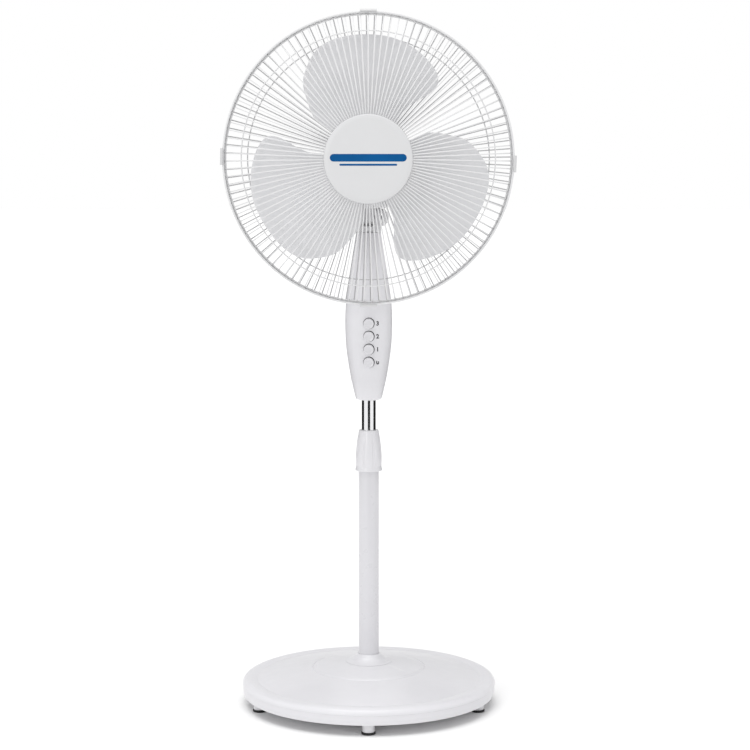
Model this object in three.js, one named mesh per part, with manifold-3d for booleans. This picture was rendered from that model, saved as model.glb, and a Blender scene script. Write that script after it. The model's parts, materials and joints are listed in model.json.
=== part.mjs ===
// Pedestal fan, 16 inch class: round base, telescopic pole, control housing, tilting and oscillating head.
// Millimetres. +Z up, -Y towards the front (where the air goes), +X to the right seen from the front.
// The origin is on the floor, under the axis of the pole.
import * as THREE from "three";
import { mergeVertices } from "three/addons/utils/BufferGeometryUtils.js";
import Module from "manifold-3d";

const wasm = await Module();
wasm.setup();

const GAP = 0.3; // between pieces that touch or sit in each other
const WALL = 2.5; // moulded covers
const BUSH_PLAY = 0.1; // running fit of the shaft and the pivot pin

// Stand
const BASE_R = 200;
const BASE_SKIRT_Z = 17.5;
const PLATE_TOP = 20.4;
const RIM_R = 9;
const GROOVE_R = 176;
const DISC_R = 88;
const FOOT_COUNT = 5;
const FOOT_CIRCLE_R = 179;
const PAD_R = 11;
const PAD_H = 3;
const OUTER_POLE_R = 16;
const OUTER_POLE_TOP = 412;
const COLLAR_BOTTOM = 372;
const COLLAR_TOP = 436.4;

// Mast
const CHROME_R = 11;
const CHROME_BOTTOM = 120;
const CHROME_TOP = 705;
const HOUSING_BOTTOM = 484;
const HOUSING_TOP = 745;
const BUTTON_Z = [545.1, 565.4, 585.5, 605.6];
const BUTTON_R = 8.3;
const BUTTON_FACE_Y = -36;
const BUTTON_BACK_Y = -29.4;
const SWITCH_Y = -24;
const TILT_Z = 768;
const CHEEK_X = 19.5;
const SLOT_X = 9.5;

// Head: the fan's axis is along Y at this height
const AXIS_Z = 858;
const SHAFT_R = 4;
const SHAFT_FRONT = -158;
const MOTOR_R = 47;
const COVER_R = 50;
const PLATE_Y = -78; // front face of the motor's front bell
const BELL_BACK = -18; // rear face of its rear bell, clear of the yoke's pillar at every swing
const RING_Y = -130; // plane where the two guards meet
const HOOP_R = 216.3;
const HOOP_HALF = 6;
// Every second wire of the guards is modelled: the real ones have 110 and 104.
const FRONT_SPOKES = 55;
const REAR_SPOKES = 52;
const WELDS = 5; // places where a brace ring is joined to the wires
const WIRE_R = 1.1;
const FRONT_BRACE_R = 187;
const REAR_BRACE_R = 180.4;
const BADGE_R = 65;
const BLADE_COUNT = 3;
const HUB_R = 45;
const HUB_BACK = -97;
const HUB_FRONT = -146;
const BLADE_T = 2.2;
const CLIP_ANGLES = [90, 179, 270, 358.1];
const CLIP_HINGE_R = 218.8;
const CLIP_HINGE_Y = -119.5;

// Oscillation drive, in plan (x, y): worm on the shaft, wheel spindle, crank spindle, fixed link pivot
const WHEEL_X = -20;
const WHEEL_Y = 24;
const CRANK_Y = 39;
const CRANK_THROW = 11;
const LINK_X = -17;
const WORM_TEETH = 20;
const PINION_TEETH = 6;
const GEAR_TEETH = 24;
const LINK_Z = 822.5;
const GEARBOX_FLOOR = 836;

const white = { color: 0xe8e8ec, roughness: 0.38, metalness: 0 };
const wire = { color: 0xececee, roughness: 0.3, metalness: 0 };
const bladeGrey = { color: 0xd4d4d8, roughness: 0.35, metalness: 0 };
const black = { color: 0x1b1b1d, roughness: 0.8, metalness: 0 };
const steel = { color: 0xb4b6ba, roughness: 0.35, metalness: 1 };
const chrome = { color: 0xdfe1e6, roughness: 0.08, metalness: 1 };
const castAlloy = { color: 0xa9abb0, roughness: 0.5, metalness: 0.9 };
const laminated = { color: 0x6e7076, roughness: 0.55, metalness: 0.8 };
const copper = { color: 0xb06a35, roughness: 0.4, metalness: 0.9 };
const bronze = { color: 0xa8854a, roughness: 0.45, metalness: 0.9 };
const nylon = { color: 0xdedccf, roughness: 0.5, metalness: 0 };
const concrete = { color: 0x8e8c87, roughness: 0.9, metalness: 0 };
const badgeWhite = { color: 0xdfe0e4, roughness: 0.35, metalness: 0 };

const fan = new THREE.Group();
fan.name = "pedestal_fan";

// ---------- solids ----------

// A closed three.js geometry as a solid, its faces turned outwards.
function solid(geometry) {
  const bare = new THREE.BufferGeometry();
  bare.setAttribute("position", geometry.getAttribute("position").clone());
  if (geometry.index) bare.setIndex(geometry.index.clone());
  const merged = mergeVertices(bare.index ? bare.toNonIndexed() : bare, 1e-4);
  const index = merged.index.array;
  const tris = [];
  for (let i = 0; i < index.length; i += 3) {
    const [a, b, c] = [index[i], index[i + 1], index[i + 2]];
    if (a !== b && b !== c && c !== a) tris.push(a, b, c);
  }
  const vertProperties = merged.attributes.position.array;
  const build = (list) =>
    new wasm.Manifold(new wasm.Mesh({ numProp: 3, vertProperties, triVerts: new Uint32Array(list) }));
  const made = build(tris);
  if (made.volume() > 0) return made;
  return build(tris.slice().reverse());
}

const union = (...list) => list.reduce((sum, s) => sum.add(s));
const cut = (body, ...tools) => tools.reduce((left, t) => left.subtract(t), body);
const rad = (degrees) => (degrees * Math.PI) / 180;

// Revolved about Z (profile of [radius, z]) or about the fan's axis (profile of [radius, y]).
function turned(profile, segments) {
  const ring = profile[0][0] > 0 || profile.at(-1)[0] > 0;
  const points = (ring ? [...profile, profile[0]] : profile).map(([r, h]) => new THREE.Vector2(r, h));
  return new THREE.LatheGeometry(points, segments);
}
const turnedZ = (profile, segments, x = 0, y = 0) =>
  solid(turned(profile, segments).rotateX(Math.PI / 2).translate(x, y, 0));
const turnedY = (profile, segments) => solid(turned(profile, segments).translate(0, 0, AXIS_Z));

const tubeProfile = (rIn, rOut, low, high) => [
  [rIn, low],
  [rOut, low],
  [rOut, high],
  [rIn, high],
];
const rodProfile = (r, low, high) => [
  [0, low],
  [r, low],
  [r, high],
  [0, high],
];
const rodZ = (r, low, high, x = 0, y = 0, segments = 16) => turnedZ(rodProfile(r, low, high), segments, x, y);
const rodY = (r, low, high, segments = 20) => turnedY(rodProfile(r, low, high), segments);

// A round bar along X or Y whose axis passes through (x, y, z) of the other two coordinates.
const rodAlongX = (r, low, high, y, z, segments = 14) =>
  solid(new THREE.CylinderGeometry(r, r, high - low, segments).rotateZ(Math.PI / 2)
    .translate((low + high) / 2, y, z));
const rodAlongY = (r, low, high, x, z, segments = 14) =>
  solid(new THREE.CylinderGeometry(r, r, high - low, segments).translate(x, (low + high) / 2, z));

function block(x0, x1, y0, y1, z0, z1) {
  const box = new THREE.BoxGeometry(x1 - x0, y1 - y0, z1 - z0);
  return solid(box.translate((x0 + x1) / 2, (y0 + y1) / 2, (z0 + z1) / 2));
}

// Points of an arc in a profile, angles in degrees.
function arc(cr, cz, radius, from, to, steps) {
  const points = [];
  for (let i = 0; i <= steps; i++) {
    const a = rad(from + ((to - from) * i) / steps);
    points.push([cr + radius * Math.cos(a), cz + radius * Math.sin(a)]);
  }
  return points;
}

// A closed skin over a list of rings with the same number of points, ends capped.
function skinned(rings) {
  const count = rings[0].length;
  const positions = rings.flat().flatMap((p) => [p.x, p.y, p.z]);
  const index = [];
  for (let k = 0; k + 1 < rings.length; k++) {
    for (let i = 0; i < count; i++) {
      const j = (i + 1) % count;
      const a = k * count + i;
      const b = k * count + j;
      index.push(a, b, b + count, a, b + count, a + count);
    }
  }
  const last = (rings.length - 1) * count;
  for (let i = 1; i + 1 < count; i++) {
    index.push(0, i + 1, i);
    index.push(last, last + i, last + i + 1);
  }
  const geometry = new THREE.BufferGeometry();
  geometry.setAttribute("position", new THREE.Float32BufferAttribute(positions, 3));
  geometry.setIndex(index);
  return solid(geometry);
}

// A closed plate between two grids of points of the same size; both sides are split along the same diagonals.
function plate(near, far) {
  const rows = near.length;
  const columns = near[0].length;
  const sheet = rows * columns;
  const positions = [...near.flat(), ...far.flat()].flatMap((p) => [p.x, p.y, p.z]);
  const index = [];
  for (let i = 0; i + 1 < rows; i++) {
    for (let j = 0; j + 1 < columns; j++) {
      const a = i * columns + j;
      const b = a + 1;
      const c = b + columns;
      const d = a + columns;
      index.push(a, b, c, a, c, d);
      index.push(sheet + a, sheet + c, sheet + b, sheet + a, sheet + d, sheet + c);
    }
  }
  const rim = [];
  for (let j = 0; j < columns; j++) rim.push(j);
  for (let i = 1; i < rows; i++) rim.push(i * columns + columns - 1);
  for (let j = columns - 2; j >= 0; j--) rim.push((rows - 1) * columns + j);
  for (let i = rows - 2; i > 0; i--) rim.push(i * columns);
  rim.forEach((a, k) => {
    const b = rim[(k + 1) % rim.length];
    index.push(a, sheet + a, sheet + b, a, sheet + b, b);
  });
  const geometry = new THREE.BufferGeometry();
  geometry.setAttribute("position", new THREE.Float32BufferAttribute(positions, 3));
  geometry.setIndex(index);
  return solid(geometry);
}

// A flat outline of [x, y] points, extruded from z0 to z1.
function extruded(outline, z0, z1) {
  const shape = new THREE.Shape(outline.map(([x, y]) => new THREE.Vector2(x, y)));
  const geometry = new THREE.ExtrudeGeometry(shape, { depth: z1 - z0, bevelEnabled: false });
  return solid(geometry.translate(0, 0, z0));
}

// Adds a solid to the fan as its own named mesh.
function add(name, body, look, group = fan) {
  const mesh = body.getMesh();
  const geometry = new THREE.BufferGeometry();
  const xyz = [];
  for (let i = 0; i < mesh.vertProperties.length; i += mesh.numProp) {
    xyz.push(mesh.vertProperties[i], mesh.vertProperties[i + 1], mesh.vertProperties[i + 2]);
  }
  geometry.setAttribute("position", new THREE.Float32BufferAttribute(xyz, 3));
  geometry.setIndex([...mesh.triVerts]);
  const flat = geometry.toNonIndexed();
  flat.computeVertexNormals();
  const node = new THREE.Mesh(flat, new THREE.MeshStandardMaterial(look));
  node.name = name;
  group.add(node);
}

function subGroup(name) {
  const group = new THREE.Group();
  group.name = name;
  fan.add(group);
  return group;
}

// ---------- stand ----------

// Height of the cover's dome at a radius between the groove and the inner disc.
function domeZ(r) {
  const t = (GROOVE_R - r) / (GROOVE_R - DISC_R);
  return 40.5 + (17 * Math.sin((t * Math.PI) / 2.4)) / Math.sin(Math.PI / 2.4);
}

function baseCover() {
  const rimCentre = BASE_R - RIM_R;
  const rimZ = 33.7;
  const outer = [
    [197.5, BASE_SKIRT_Z],
    [199.6, 24],
    ...arc(rimCentre, rimZ, RIM_R, 0, 115, 4),
    [GROOVE_R + 2, domeZ(GROOVE_R) - 0.3],
    [GROOVE_R, domeZ(GROOVE_R) - 1.4],
    [GROOVE_R - 2, domeZ(GROOVE_R - 2)],
    [140, domeZ(140)],
    [DISC_R + 1, domeZ(DISC_R)],
    [DISC_R - 0.5, domeZ(DISC_R) - 1],
    [DISC_R - 2, domeZ(DISC_R) + 0.8],
    [54, 64.4],
    [20, 68],
  ];
  const inner = [
    [20, 65.5],
    [DISC_R, 54.4],
    [GROOVE_R, 36.5],
    ...arc(rimCentre, rimZ, RIM_R - WALL, 115, 0, 1),
    [195, BASE_SKIRT_Z],
  ];
  return turnedZ([...outer, ...inner], 32);
}

const footAngle = (i) => rad(-90 + (360 * i) / FOOT_COUNT);
const footX = (i) => FOOT_CIRCLE_R * Math.cos(footAngle(i));
const footY = (i) => FOOT_CIRCLE_R * Math.sin(footAngle(i));

function basePlate() {
  let plate = turnedZ(tubeProfile(4.5, 193.2, BASE_SKIRT_Z + 0.4, PLATE_TOP), 32);
  for (let i = 0; i < FOOT_COUNT; i++) {
    plate = plate.add(rodZ(10, PAD_H + GAP, BASE_SKIRT_Z + 1, footX(i), footY(i), 12));
  }
  for (let i = 0; i < FOOT_COUNT; i++) {
    plate = plate.subtract(rodZ(4.3, PAD_H - 1, 13, footX(i), footY(i), 10));
  }
  return plate;
}

function footPad(i) {
  const profile = [
    [0, 0],
    [PAD_R, 0],
    [PAD_R, PAD_H],
    [4, PAD_H],
    [4, 12],
    [0, 12],
  ];
  return turnedZ(profile, 14, footX(i), footY(i));
}

function standParts() {
  const stand = subGroup("stand");
  add("base_cover", baseCover(), white, stand);
  add("base_weight", turnedZ(tubeProfile(30, 168, PLATE_TOP + GAP, 35.5), 28), concrete, stand);
  add("base_plate", basePlate(), white, stand);
  for (let i = 0; i < FOOT_COUNT; i++) add(`foot_pad_${i + 1}`, footPad(i), black, stand);
  const socket = [
    [16.6, 68.3],
    [36, 68.3],
    [35.6, 69.6],
    [27, 72.4],
    [21, 77],
    [18.6, 82.5],
    [18, 86.5],
    [16.6, 86.5],
  ];
  add("pole_socket", turnedZ(socket, 24), white, stand);
  const outerTube = tubeProfile(14.5, OUTER_POLE_R, PLATE_TOP + GAP, OUTER_POLE_TOP);
  add("outer_pole", turnedZ(outerTube, 24), white, stand);
  add("pole_plug", turnedZ(tubeProfile(4.4, 14.2, PLATE_TOP + GAP, 46), 20), steel, stand);
  const bolt = [
    [0, 9],
    [8, 9],
    [8, 14.2],
    [12, 14.2],
    [12, BASE_SKIRT_Z],
    [4, BASE_SKIRT_Z],
    [4, 42],
    [0, 42],
  ];
  add("pole_bolt", turnedZ(bolt, 14), steel, stand);
  add("collet_sleeve", colletSleeve(), nylon, stand);
}

// The split sleeve that the height collar squeezes on to the chrome tube.
function colletSleeve() {
  const profile = [
    [11.3, 386],
    [14.2, 386],
    [14.2, OUTER_POLE_TOP + GAP],
    [15.2, OUTER_POLE_TOP + GAP],
    [12.6, 430],
    [11.3, 430],
  ];
  const slits = [0, 60, 120].map((a) =>
    block(-20, 20, -0.8, 0.8, 406, 438).rotate([0, 0, a]));
  return cut(turnedZ(profile, 18), ...slits);
}

function heightCollar() {
  const outer = [
    [20.8, COLLAR_BOTTOM],
    [20.8, 374.5],
    [20, 377],
    [20, 392],
    [19, 409],
    [17, 424],
    [15.3, 432],
    [14, COLLAR_TOP],
  ];
  const inner = [
    [11.4, COLLAR_TOP],
    [11.4, 432.5],
    [13.4, 431],
    [16.4, 412],
    [16.4, COLLAR_BOTTOM],
  ];
  const ribs = 10;
  let collar = turnedZ([...outer, ...inner], 20);
  for (let i = 0; i < ribs; i++) {
    const groove = block(18.9, 24, -0.8, 0.8, 380, 404);
    collar = collar.subtract(groove.rotate([0, 0, (360 * i) / ribs]));
  }
  return collar;
}

// ---------- mast ----------

// Half-width (X) and half-depth (Y) of the control housing along its height.
const housingWidth = new THREE.SplineCurve([
  new THREE.Vector2(HOUSING_BOTTOM, 18.2),
  new THREE.Vector2(507, 24.9),
  new THREE.Vector2(545, 31.8),
  new THREE.Vector2(582, 35.6),
  new THREE.Vector2(612, 36.2),
  new THREE.Vector2(640, 35),
  new THREE.Vector2(683, 28.6),
  new THREE.Vector2(HOUSING_TOP, 19.2),
]);
const housingDepth = new THREE.SplineCurve([
  new THREE.Vector2(HOUSING_BOTTOM, 17.2),
  new THREE.Vector2(507, 24.2),
  new THREE.Vector2(545, 30),
  new THREE.Vector2(582, 31.2),
  new THREE.Vector2(612, 31.2),
  new THREE.Vector2(640, 30),
  new THREE.Vector2(683, 25.6),
  new THREE.Vector2(HOUSING_TOP, 18.4),
]);
const HOUSING_STEPS = 7;
const HOUSING_SIDES = 20;

// One ring of the housing, drawn in by `inset`; a little squarer than an ellipse.
function housingRing(t, inset) {
  const at = housingWidth.getPoint(t);
  const z = at.x;
  const a = at.y - inset;
  const b = housingDepth.getPoint(t).y - inset;
  const ring = [];
  for (let i = 0; i < HOUSING_SIDES; i++) {
    const angle = (2 * Math.PI * i) / HOUSING_SIDES;
    const c = Math.cos(angle);
    const s = Math.sin(angle);
    const x = a * Math.sign(c) * Math.abs(c) ** 0.85;
    const y = b * Math.sign(s) * Math.abs(s) ** 0.85;
    ring.push(new THREE.Vector3(x, y, z));
  }
  return ring;
}

function housingShell() {
  const outer = [];
  const inner = [];
  for (let k = 0; k <= HOUSING_STEPS; k++) {
    outer.push(housingRing(k / HOUSING_STEPS, 0));
    inner.push(housingRing(k / HOUSING_STEPS, WALL));
  }
  // The hollow starts above the floor and runs out through the top.
  inner[0] = inner[0].map((p) => new THREE.Vector3(p.x, p.y, HOUSING_BOTTOM + WALL));
  inner.push(inner.at(-1).map((p) => new THREE.Vector3(p.x, p.y, p.z + 5)));
  const bore = rodZ(CHROME_R + GAP, HOUSING_BOTTOM - 1, HOUSING_BOTTOM + 5, 0, 0, 24);
  return cut(skinned(outer), skinned(inner), bore);
}

const GLAND_Z = 520;
const CLAMP_Z = 501;
const SCREW_X = 22;
const SCREW_Z = 621;
// Where the housing's back wall stands at a height, on its middle line.
const rearWallY = (z) => curveAt(housingDepth, z);

// The y of a curve where its x reaches the given value.
function curveAt(curve, x) {
  let low = 0;
  let high = 1;
  for (let i = 0; i < 24; i++) {
    const mid = (low + high) / 2;
    if (curve.getPoint(mid).x < x) low = mid;
    else high = mid;
  }
  return curve.getPoint(low).y;
}

// The front half, with the four button holes and a boss for the screw that comes from the back.
function housingFront(shell) {
  const core = skinned([...Array(HOUSING_STEPS + 1).keys()].map((k) => housingRing(k / HOUSING_STEPS, 0.6)));
  const boss = cut(
    rodAlongY(4, -28, -0.4, SCREW_X, SCREW_Z, 12),
    rodAlongY(1.9, -14, 1, SCREW_X, SCREW_Z, 12),
  );
  const half = shell.intersect(block(-60, 60, -60, -GAP / 2, HOUSING_BOTTOM - 2, HOUSING_TOP + 2));
  const holes = BUTTON_Z.map((z) => rodAlongY(BUTTON_R + GAP, -50, -18, 0, z, 20));
  return cut(half.add(boss.intersect(core)), ...holes);
}

// The rear half, with holes for the cord inlet, the clamp screw and the housing screw.
function housingRear(shell) {
  return cut(
    shell.intersect(block(-60, 60, GAP / 2, 60, HOUSING_BOTTOM - 2, HOUSING_TOP + 2)),
    rodAlongY(4.3, 12, 40, 0, GLAND_Z, 16),
    rodAlongY(2.4, 12, 40, 0, CLAMP_Z, 12),
    rodAlongY(1.9, 10, 40, SCREW_X, SCREW_Z, 12),
  );
}

// The body behind the four buttons; each button's stem slides in its own hole.
function switchBlock() {
  const body = block(-9, 9, SWITCH_Y, -11.6, BUTTON_Z[0] - 7, BUTTON_Z[3] + 11);
  return cut(body, ...BUTTON_Z.map((z) => rodAlongY(2.8, -30, -14, 0, z, 10)));
}

function poleClampScrew() {
  const wall = rearWallY(CLAMP_Z);
  return union(
    rodAlongY(2, CHROME_R + GAP, wall + 2, 0, CLAMP_Z, 12),
    rodAlongY(3.8, wall + 1.7, wall + 3.7, 0, CLAMP_Z, 14),
  );
}

function housingScrew() {
  return union(
    rodAlongY(1.6, -12, 28, SCREW_X, SCREW_Z, 10),
    rodAlongY(3.4, 27.8, 29.6, SCREW_X, SCREW_Z, 12),
  );
}

// The flanged rubber ring where the power cord enters.
function cordGland() {
  const wall = rearWallY(GLAND_Z);
  return cut(
    union(
      rodAlongY(4, wall - 5, wall + 2, 0, GLAND_Z, 20),
      rodAlongY(6.2, wall + 0.6, wall + 3.2, 0, GLAND_Z, 20),
    ),
    rodAlongY(2.4, 0, 60, 0, GLAND_Z, 14),
  );
}

// A hexagon head on the left, a threaded end inside the tilt knob on the right.
function tiltBolt() {
  return union(
    rodAlongX(3, -21, 29, 0, TILT_Z, 16),
    rodAlongX(5.6, -24, -CHEEK_X - GAP, 0, TILT_Z, 6),
  );
}

function mastParts() {
  const mast = subGroup("mast");
  const chromeTube = turnedZ(tubeProfile(CHROME_R - 1.2, CHROME_R, CHROME_BOTTOM, CHROME_TOP), 24);
  const guide = turnedZ(tubeProfile(CHROME_R + GAP, 14.2, CHROME_BOTTOM + 2, CHROME_BOTTOM + 30), 20);
  const shell = housingShell();
  add("inner_pole", chromeTube, chrome, mast);
  add("inner_pole_guide", guide, nylon, mast);
  add("control_housing_front", housingFront(shell), white, mast);
  add("control_housing_rear", housingRear(shell), white, mast);
  add("switch_block", switchBlock(), black, mast);
  add("run_capacitor", block(-13, 13, 12, 20.5, 630, 664), black, mast);
  add("pole_clamp_screw", poleClampScrew(), steel, mast);
  add("housing_screw", housingScrew(), steel, mast);
  add("cord_gland", cordGland(), black, mast);
  add("neck_clevis", neckClevis(), white, mast);
  add("tilt_bolt", tiltBolt(), steel, mast);
}

// The fork at the top of the mast: a spigot in the chrome tube, a body, two cheeks round the yoke's lug.
function neckClevis() {
  const bottom = HOUSING_TOP + GAP;
  const cheek = rodAlongX(16, -CHEEK_X, CHEEK_X, 0, TILT_Z, 20);
  const trunk = block(-CHEEK_X, CHEEK_X, -16, 16, bottom, TILT_Z);
  const corner = turnedZ(rodProfile(24, bottom - 1, TILT_Z + 20), 24);
  const spigot = union(
    rodZ(CHROME_R - 1.2 - GAP, CHROME_TOP - 40, CHROME_TOP + 2, 0, 0, 24),
    rodZ(15, CHROME_TOP + GAP, bottom + 1, 0, 0, 24),
  );
  return cut(
    union(trunk, cheek).intersect(corner).add(spigot),
    block(-SLOT_X, SLOT_X, -30, 30, TILT_Z - 16.5, TILT_Z + 30),
    rodAlongX(3.4, -30, 30, 0, TILT_Z, 16),
  );
}

function button(z) {
  return union(
    rodAlongY(BUTTON_R, BUTTON_FACE_Y, BUTTON_BACK_Y, 0, z, 20),
    rodAlongY(2.4, BUTTON_BACK_Y - 1, -19.5, 0, z, 10),
  );
}

// A round knob with six shallow flutes, on the threaded end of the tilt bolt.
function tiltKnob() {
  let knob = rodAlongX(11, CHEEK_X + 0.5, 31, 0, TILT_Z, 24);
  for (let i = 0; i < 6; i++) {
    const a = rad(60 * i);
    knob = knob.subtract(rodAlongX(3, 22.5, 40, 12.6 * Math.cos(a), TILT_Z + 12.6 * Math.sin(a), 10));
  }
  return knob.subtract(rodAlongX(3.3, 0, 29.6, 0, TILT_Z, 16));
}

// ---------- yoke and oscillation link ----------

function neckYoke() {
  const lug = union(
    rodAlongX(13, -SLOT_X + GAP, SLOT_X - GAP, 0, TILT_Z, 24),
    block(-SLOT_X + GAP, SLOT_X - GAP, -12, 12, TILT_Z, 792),
  );
  const platform = [
    [0, 786],
    [10, 786],
    [22, 790.5],
    [23, 792],
    [23, 799],
    [22, 800],
    [0, 800],
  ];
  const pillar = rodZ(4.6, 796, LINK_Z - GAP, LINK_X, 0, 16);
  return cut(
    union(lug, turnedZ(platform, 24), pillar),
    rodAlongX(3.4, -30, 30, 0, TILT_Z, 16),
    rodZ(SHAFT_R + GAP, 782.5, 810, 0, 0, 24),
    rodZ(2.3, 812, LINK_Z + 1, LINK_X, 0, 12),
  );
}

const CRANK_PIN_X = -CRANK_THROW;

// A flat bar with an eye at each end; its rivet stands in the yoke's pillar.
function swingLink() {
  const top = LINK_Z + 4;
  const dx = CRANK_PIN_X - LINK_X;
  const length = Math.hypot(dx, CRANK_Y);
  const bar = block(0, length, -3, 3, LINK_Z, top)
    .rotate([0, 0, (Math.atan2(CRANK_Y, dx) * 180) / Math.PI])
    .translate([LINK_X, 0, 0]);
  return cut(
    union(
      bar,
      rodZ(4.6, LINK_Z, top, LINK_X, 0, 18),
      rodZ(4.6, LINK_Z, top, CRANK_PIN_X, CRANK_Y, 18),
      rodZ(2, 813, top + 1.2, LINK_X, 0, 12),
    ),
    rodZ(2.4, LINK_Z - 1, top + 1, CRANK_PIN_X, CRANK_Y, 14),
  );
}

// ---------- motor and gears ----------

function motorFrontBell() {
  const profile = [
    [9, PLATE_Y - 12.8],
    [18, PLATE_Y - 12.8],
    [18, PLATE_Y],
    [MOTOR_R, PLATE_Y],
    [MOTOR_R, -48],
    [44.7, -48],
    [44.7, PLATE_Y + 3],
    [9, PLATE_Y + 3],
  ];
  return turnedY(profile, 24);
}

function motorRearBell() {
  const profile = [
    [9, BELL_BACK - 3],
    [44.7, BELL_BACK - 3],
    [44.7, -44],
    [MOTOR_R, -44],
    [MOTOR_R, BELL_BACK],
    [9, BELL_BACK],
  ];
  return turnedY(profile, 24);
}

// The laminated core: a thick ring with eight slots towards the bore.
function statorCore() {
  let core = turnedY(tubeProfile(24.6, 44.4, -62, -34), 24);
  for (let i = 0; i < 8; i++) {
    const slot = block(-3, 3, -66, -30, 20, 36).rotate([0, 45 * i + 22.5, 0]);
    core = core.subtract(slot.translate([0, 0, AXIS_Z]));
  }
  return core;
}

// One end of the windings, a rounded ring of bundled wire.
function windingEnd(low, high) {
  const mid = (low + high) / 2;
  return turnedY([
    [27, mid],
    [29.5, low],
    [39, low],
    [41.5, mid],
    [39, high],
    [29.5, high],
  ], 18);
}

function rearCover() {
  const outer = [
    ...arc(COVER_R - 3, PLATE_Y + 7, 3, -90, 0, 1),
    [COVER_R, -30],
    [COVER_R, 38],
    [49, 52],
    [45.5, 66],
    ...arc(28, 70, 18, 10, 90, 3),
    [0, 88.5],
  ];
  const inner = [
    [0, 86],
    [28, 85.5],
    [43, 67],
    [COVER_R - WALL, 38],
    [COVER_R - WALL, PLATE_Y + 4],
  ];
  let cover = turnedY([[0, 88.5], ...outer.slice(0, -1).reverse(), ...inner.slice().reverse()], 24);
  cover = cut(
    cover,
    rodZ(31, 780, 840, 0, 0, 32),
    rodZ(4, 880, 920, WHEEL_X, WHEEL_Y, 16),
  );
  for (let i = -1; i <= 1; i++) {
    cover = cover.subtract(block(i * 12 - 2, i * 12 + 2, 80, 100, AXIS_Z - 18, AXIS_Z + 18));
  }
  return cover;
}

const BOX_LEFT = -38;
const BOX_RIGHT = 25;
const BOX_FRONT = BELL_BACK + GAP;
const BOX_BACK = 63;
const BOX_TOP = 882;
const BOX_ROUND = 43; // its corners follow the inside of the rear cover
const withinCover = (inset) => turnedY(rodProfile(BOX_ROUND - inset, BOX_FRONT - 5, BOX_BACK + 5), 32);

// An open box over the gears, with the pivot's socket below it.
function gearboxCase() {
  const outer = block(BOX_LEFT, BOX_RIGHT, BOX_FRONT, BOX_BACK, GEARBOX_FLOOR, BOX_TOP);
  const inside = block(
    BOX_LEFT + WALL, BOX_RIGHT - WALL, BOX_FRONT + WALL, BOX_BACK - WALL, GEARBOX_FLOOR + 3, BOX_TOP + 1,
  );
  const pivotBoss = rodZ(8, 800.3, GEARBOX_FLOOR + 1, 0, 0, 24);
  return cut(
    union(outer.intersect(withinCover(0)), pivotBoss),
    inside.intersect(withinCover(WALL)),
    rodY(4.8, BOX_FRONT - 5, 0, 20),
    rodZ(SHAFT_R + BUSH_PLAY, 795, 833, 0, 0, 24),
    rodZ(3.4, 830, 845, 0, CRANK_Y, 16),
  );
}

function gearboxLid() {
  const plate = block(BOX_LEFT, BOX_RIGHT, BOX_FRONT, BOX_BACK, BOX_TOP + GAP, BOX_TOP + 3);
  return plate.intersect(withinCover(0)).subtract(rodZ(3.6, 870, 900, WHEEL_X, WHEEL_Y, 16));
}

// An involute-like wheel: straight-sided teeth, a bore and a hub.
function toothedWheel(teeth, rootR, tipR, z0, z1, phase) {
  const outline = [];
  for (let i = 0; i < teeth; i++) {
    for (const [r, share] of [[rootR, -0.36], [tipR, -0.14], [tipR, 0.14], [rootR, 0.36]]) {
      const a = (2 * Math.PI * (i + share + phase)) / teeth;
      outline.push([r * Math.cos(a), r * Math.sin(a)]);
    }
  }
  return extruded(outline, z0, z1);
}

// The worm: a sleeve with one thread of the wheel's pitch.
const WORM_CORE = 5.2;
const WORM_TIP = 6.9;
const CENTRE = Math.abs(WHEEL_X);
const WHEEL_TIP = CENTRE - WORM_CORE - 0.4;
const WHEEL_ROOT = CENTRE - WORM_TIP - 0.4;
const WORM_PITCH = (Math.PI * (WHEEL_TIP + WHEEL_ROOT)) / WORM_TEETH;

function wormGear() {
  const turns = 3;
  const perTurn = 10;
  const sections = [];
  for (let i = 0; i <= turns * perTurn; i++) {
    const a = (2 * Math.PI * i) / perTurn + Math.PI;
    const y = WHEEL_Y + WORM_PITCH * (i / perTurn - turns / 2);
    const point = (r, dy) => new THREE.Vector3(r * Math.cos(a), y + dy, AXIS_Z + r * Math.sin(a));
    sections.push([
      point(WORM_CORE - 0.3, -0.8),
      point(WORM_TIP, -0.4),
      point(WORM_TIP, 0.4),
      point(WORM_CORE - 0.3, 0.8),
    ]);
  }
  const sleeve = turnedY(tubeProfile(SHAFT_R + GAP, WORM_CORE, WHEEL_Y - 9, WHEEL_Y + 9), 16);
  return sleeve.add(skinned(sections));
}

function wormWheel() {
  const z0 = AXIS_Z - 4;
  const wheel = toothedWheel(WORM_TEETH, WHEEL_ROOT, WHEEL_TIP, z0, AXIS_Z + 4, 0);
  const pinion = toothedWheel(PINION_TEETH, 3.6, 6.2, 841.6, 848, 0);
  const spindle = rodZ(2.6, 839.6, 866, 0, 0, 14);
  return union(wheel, pinion, spindle).translate([WHEEL_X, WHEEL_Y, 0]);
}

// Gear, spindle, crank disc and its short pin turn as one piece.
function crankGear() {
  const towards = Math.atan2(WHEEL_Y - CRANK_Y, WHEEL_X);
  const phase = (towards * GEAR_TEETH) / (2 * Math.PI) + 0.5;
  const pinionPhase = ((towards + Math.PI) * PINION_TEETH) / (2 * Math.PI);
  const shift = pinionPhase - Math.round(pinionPhase);
  return union(
    toothedWheel(GEAR_TEETH, 18, 20.8, 842, 847, phase + shift),
    rodZ(3, 832, 850, 0, 0, 16),
    rodZ(14.5, 830.2, 834.4, 0, 0, 20),
  ).translate([0, CRANK_Y, 0])
    .add(rodZ(2.2, 827, 832, CRANK_PIN_X, CRANK_Y, 12));
}

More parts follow.
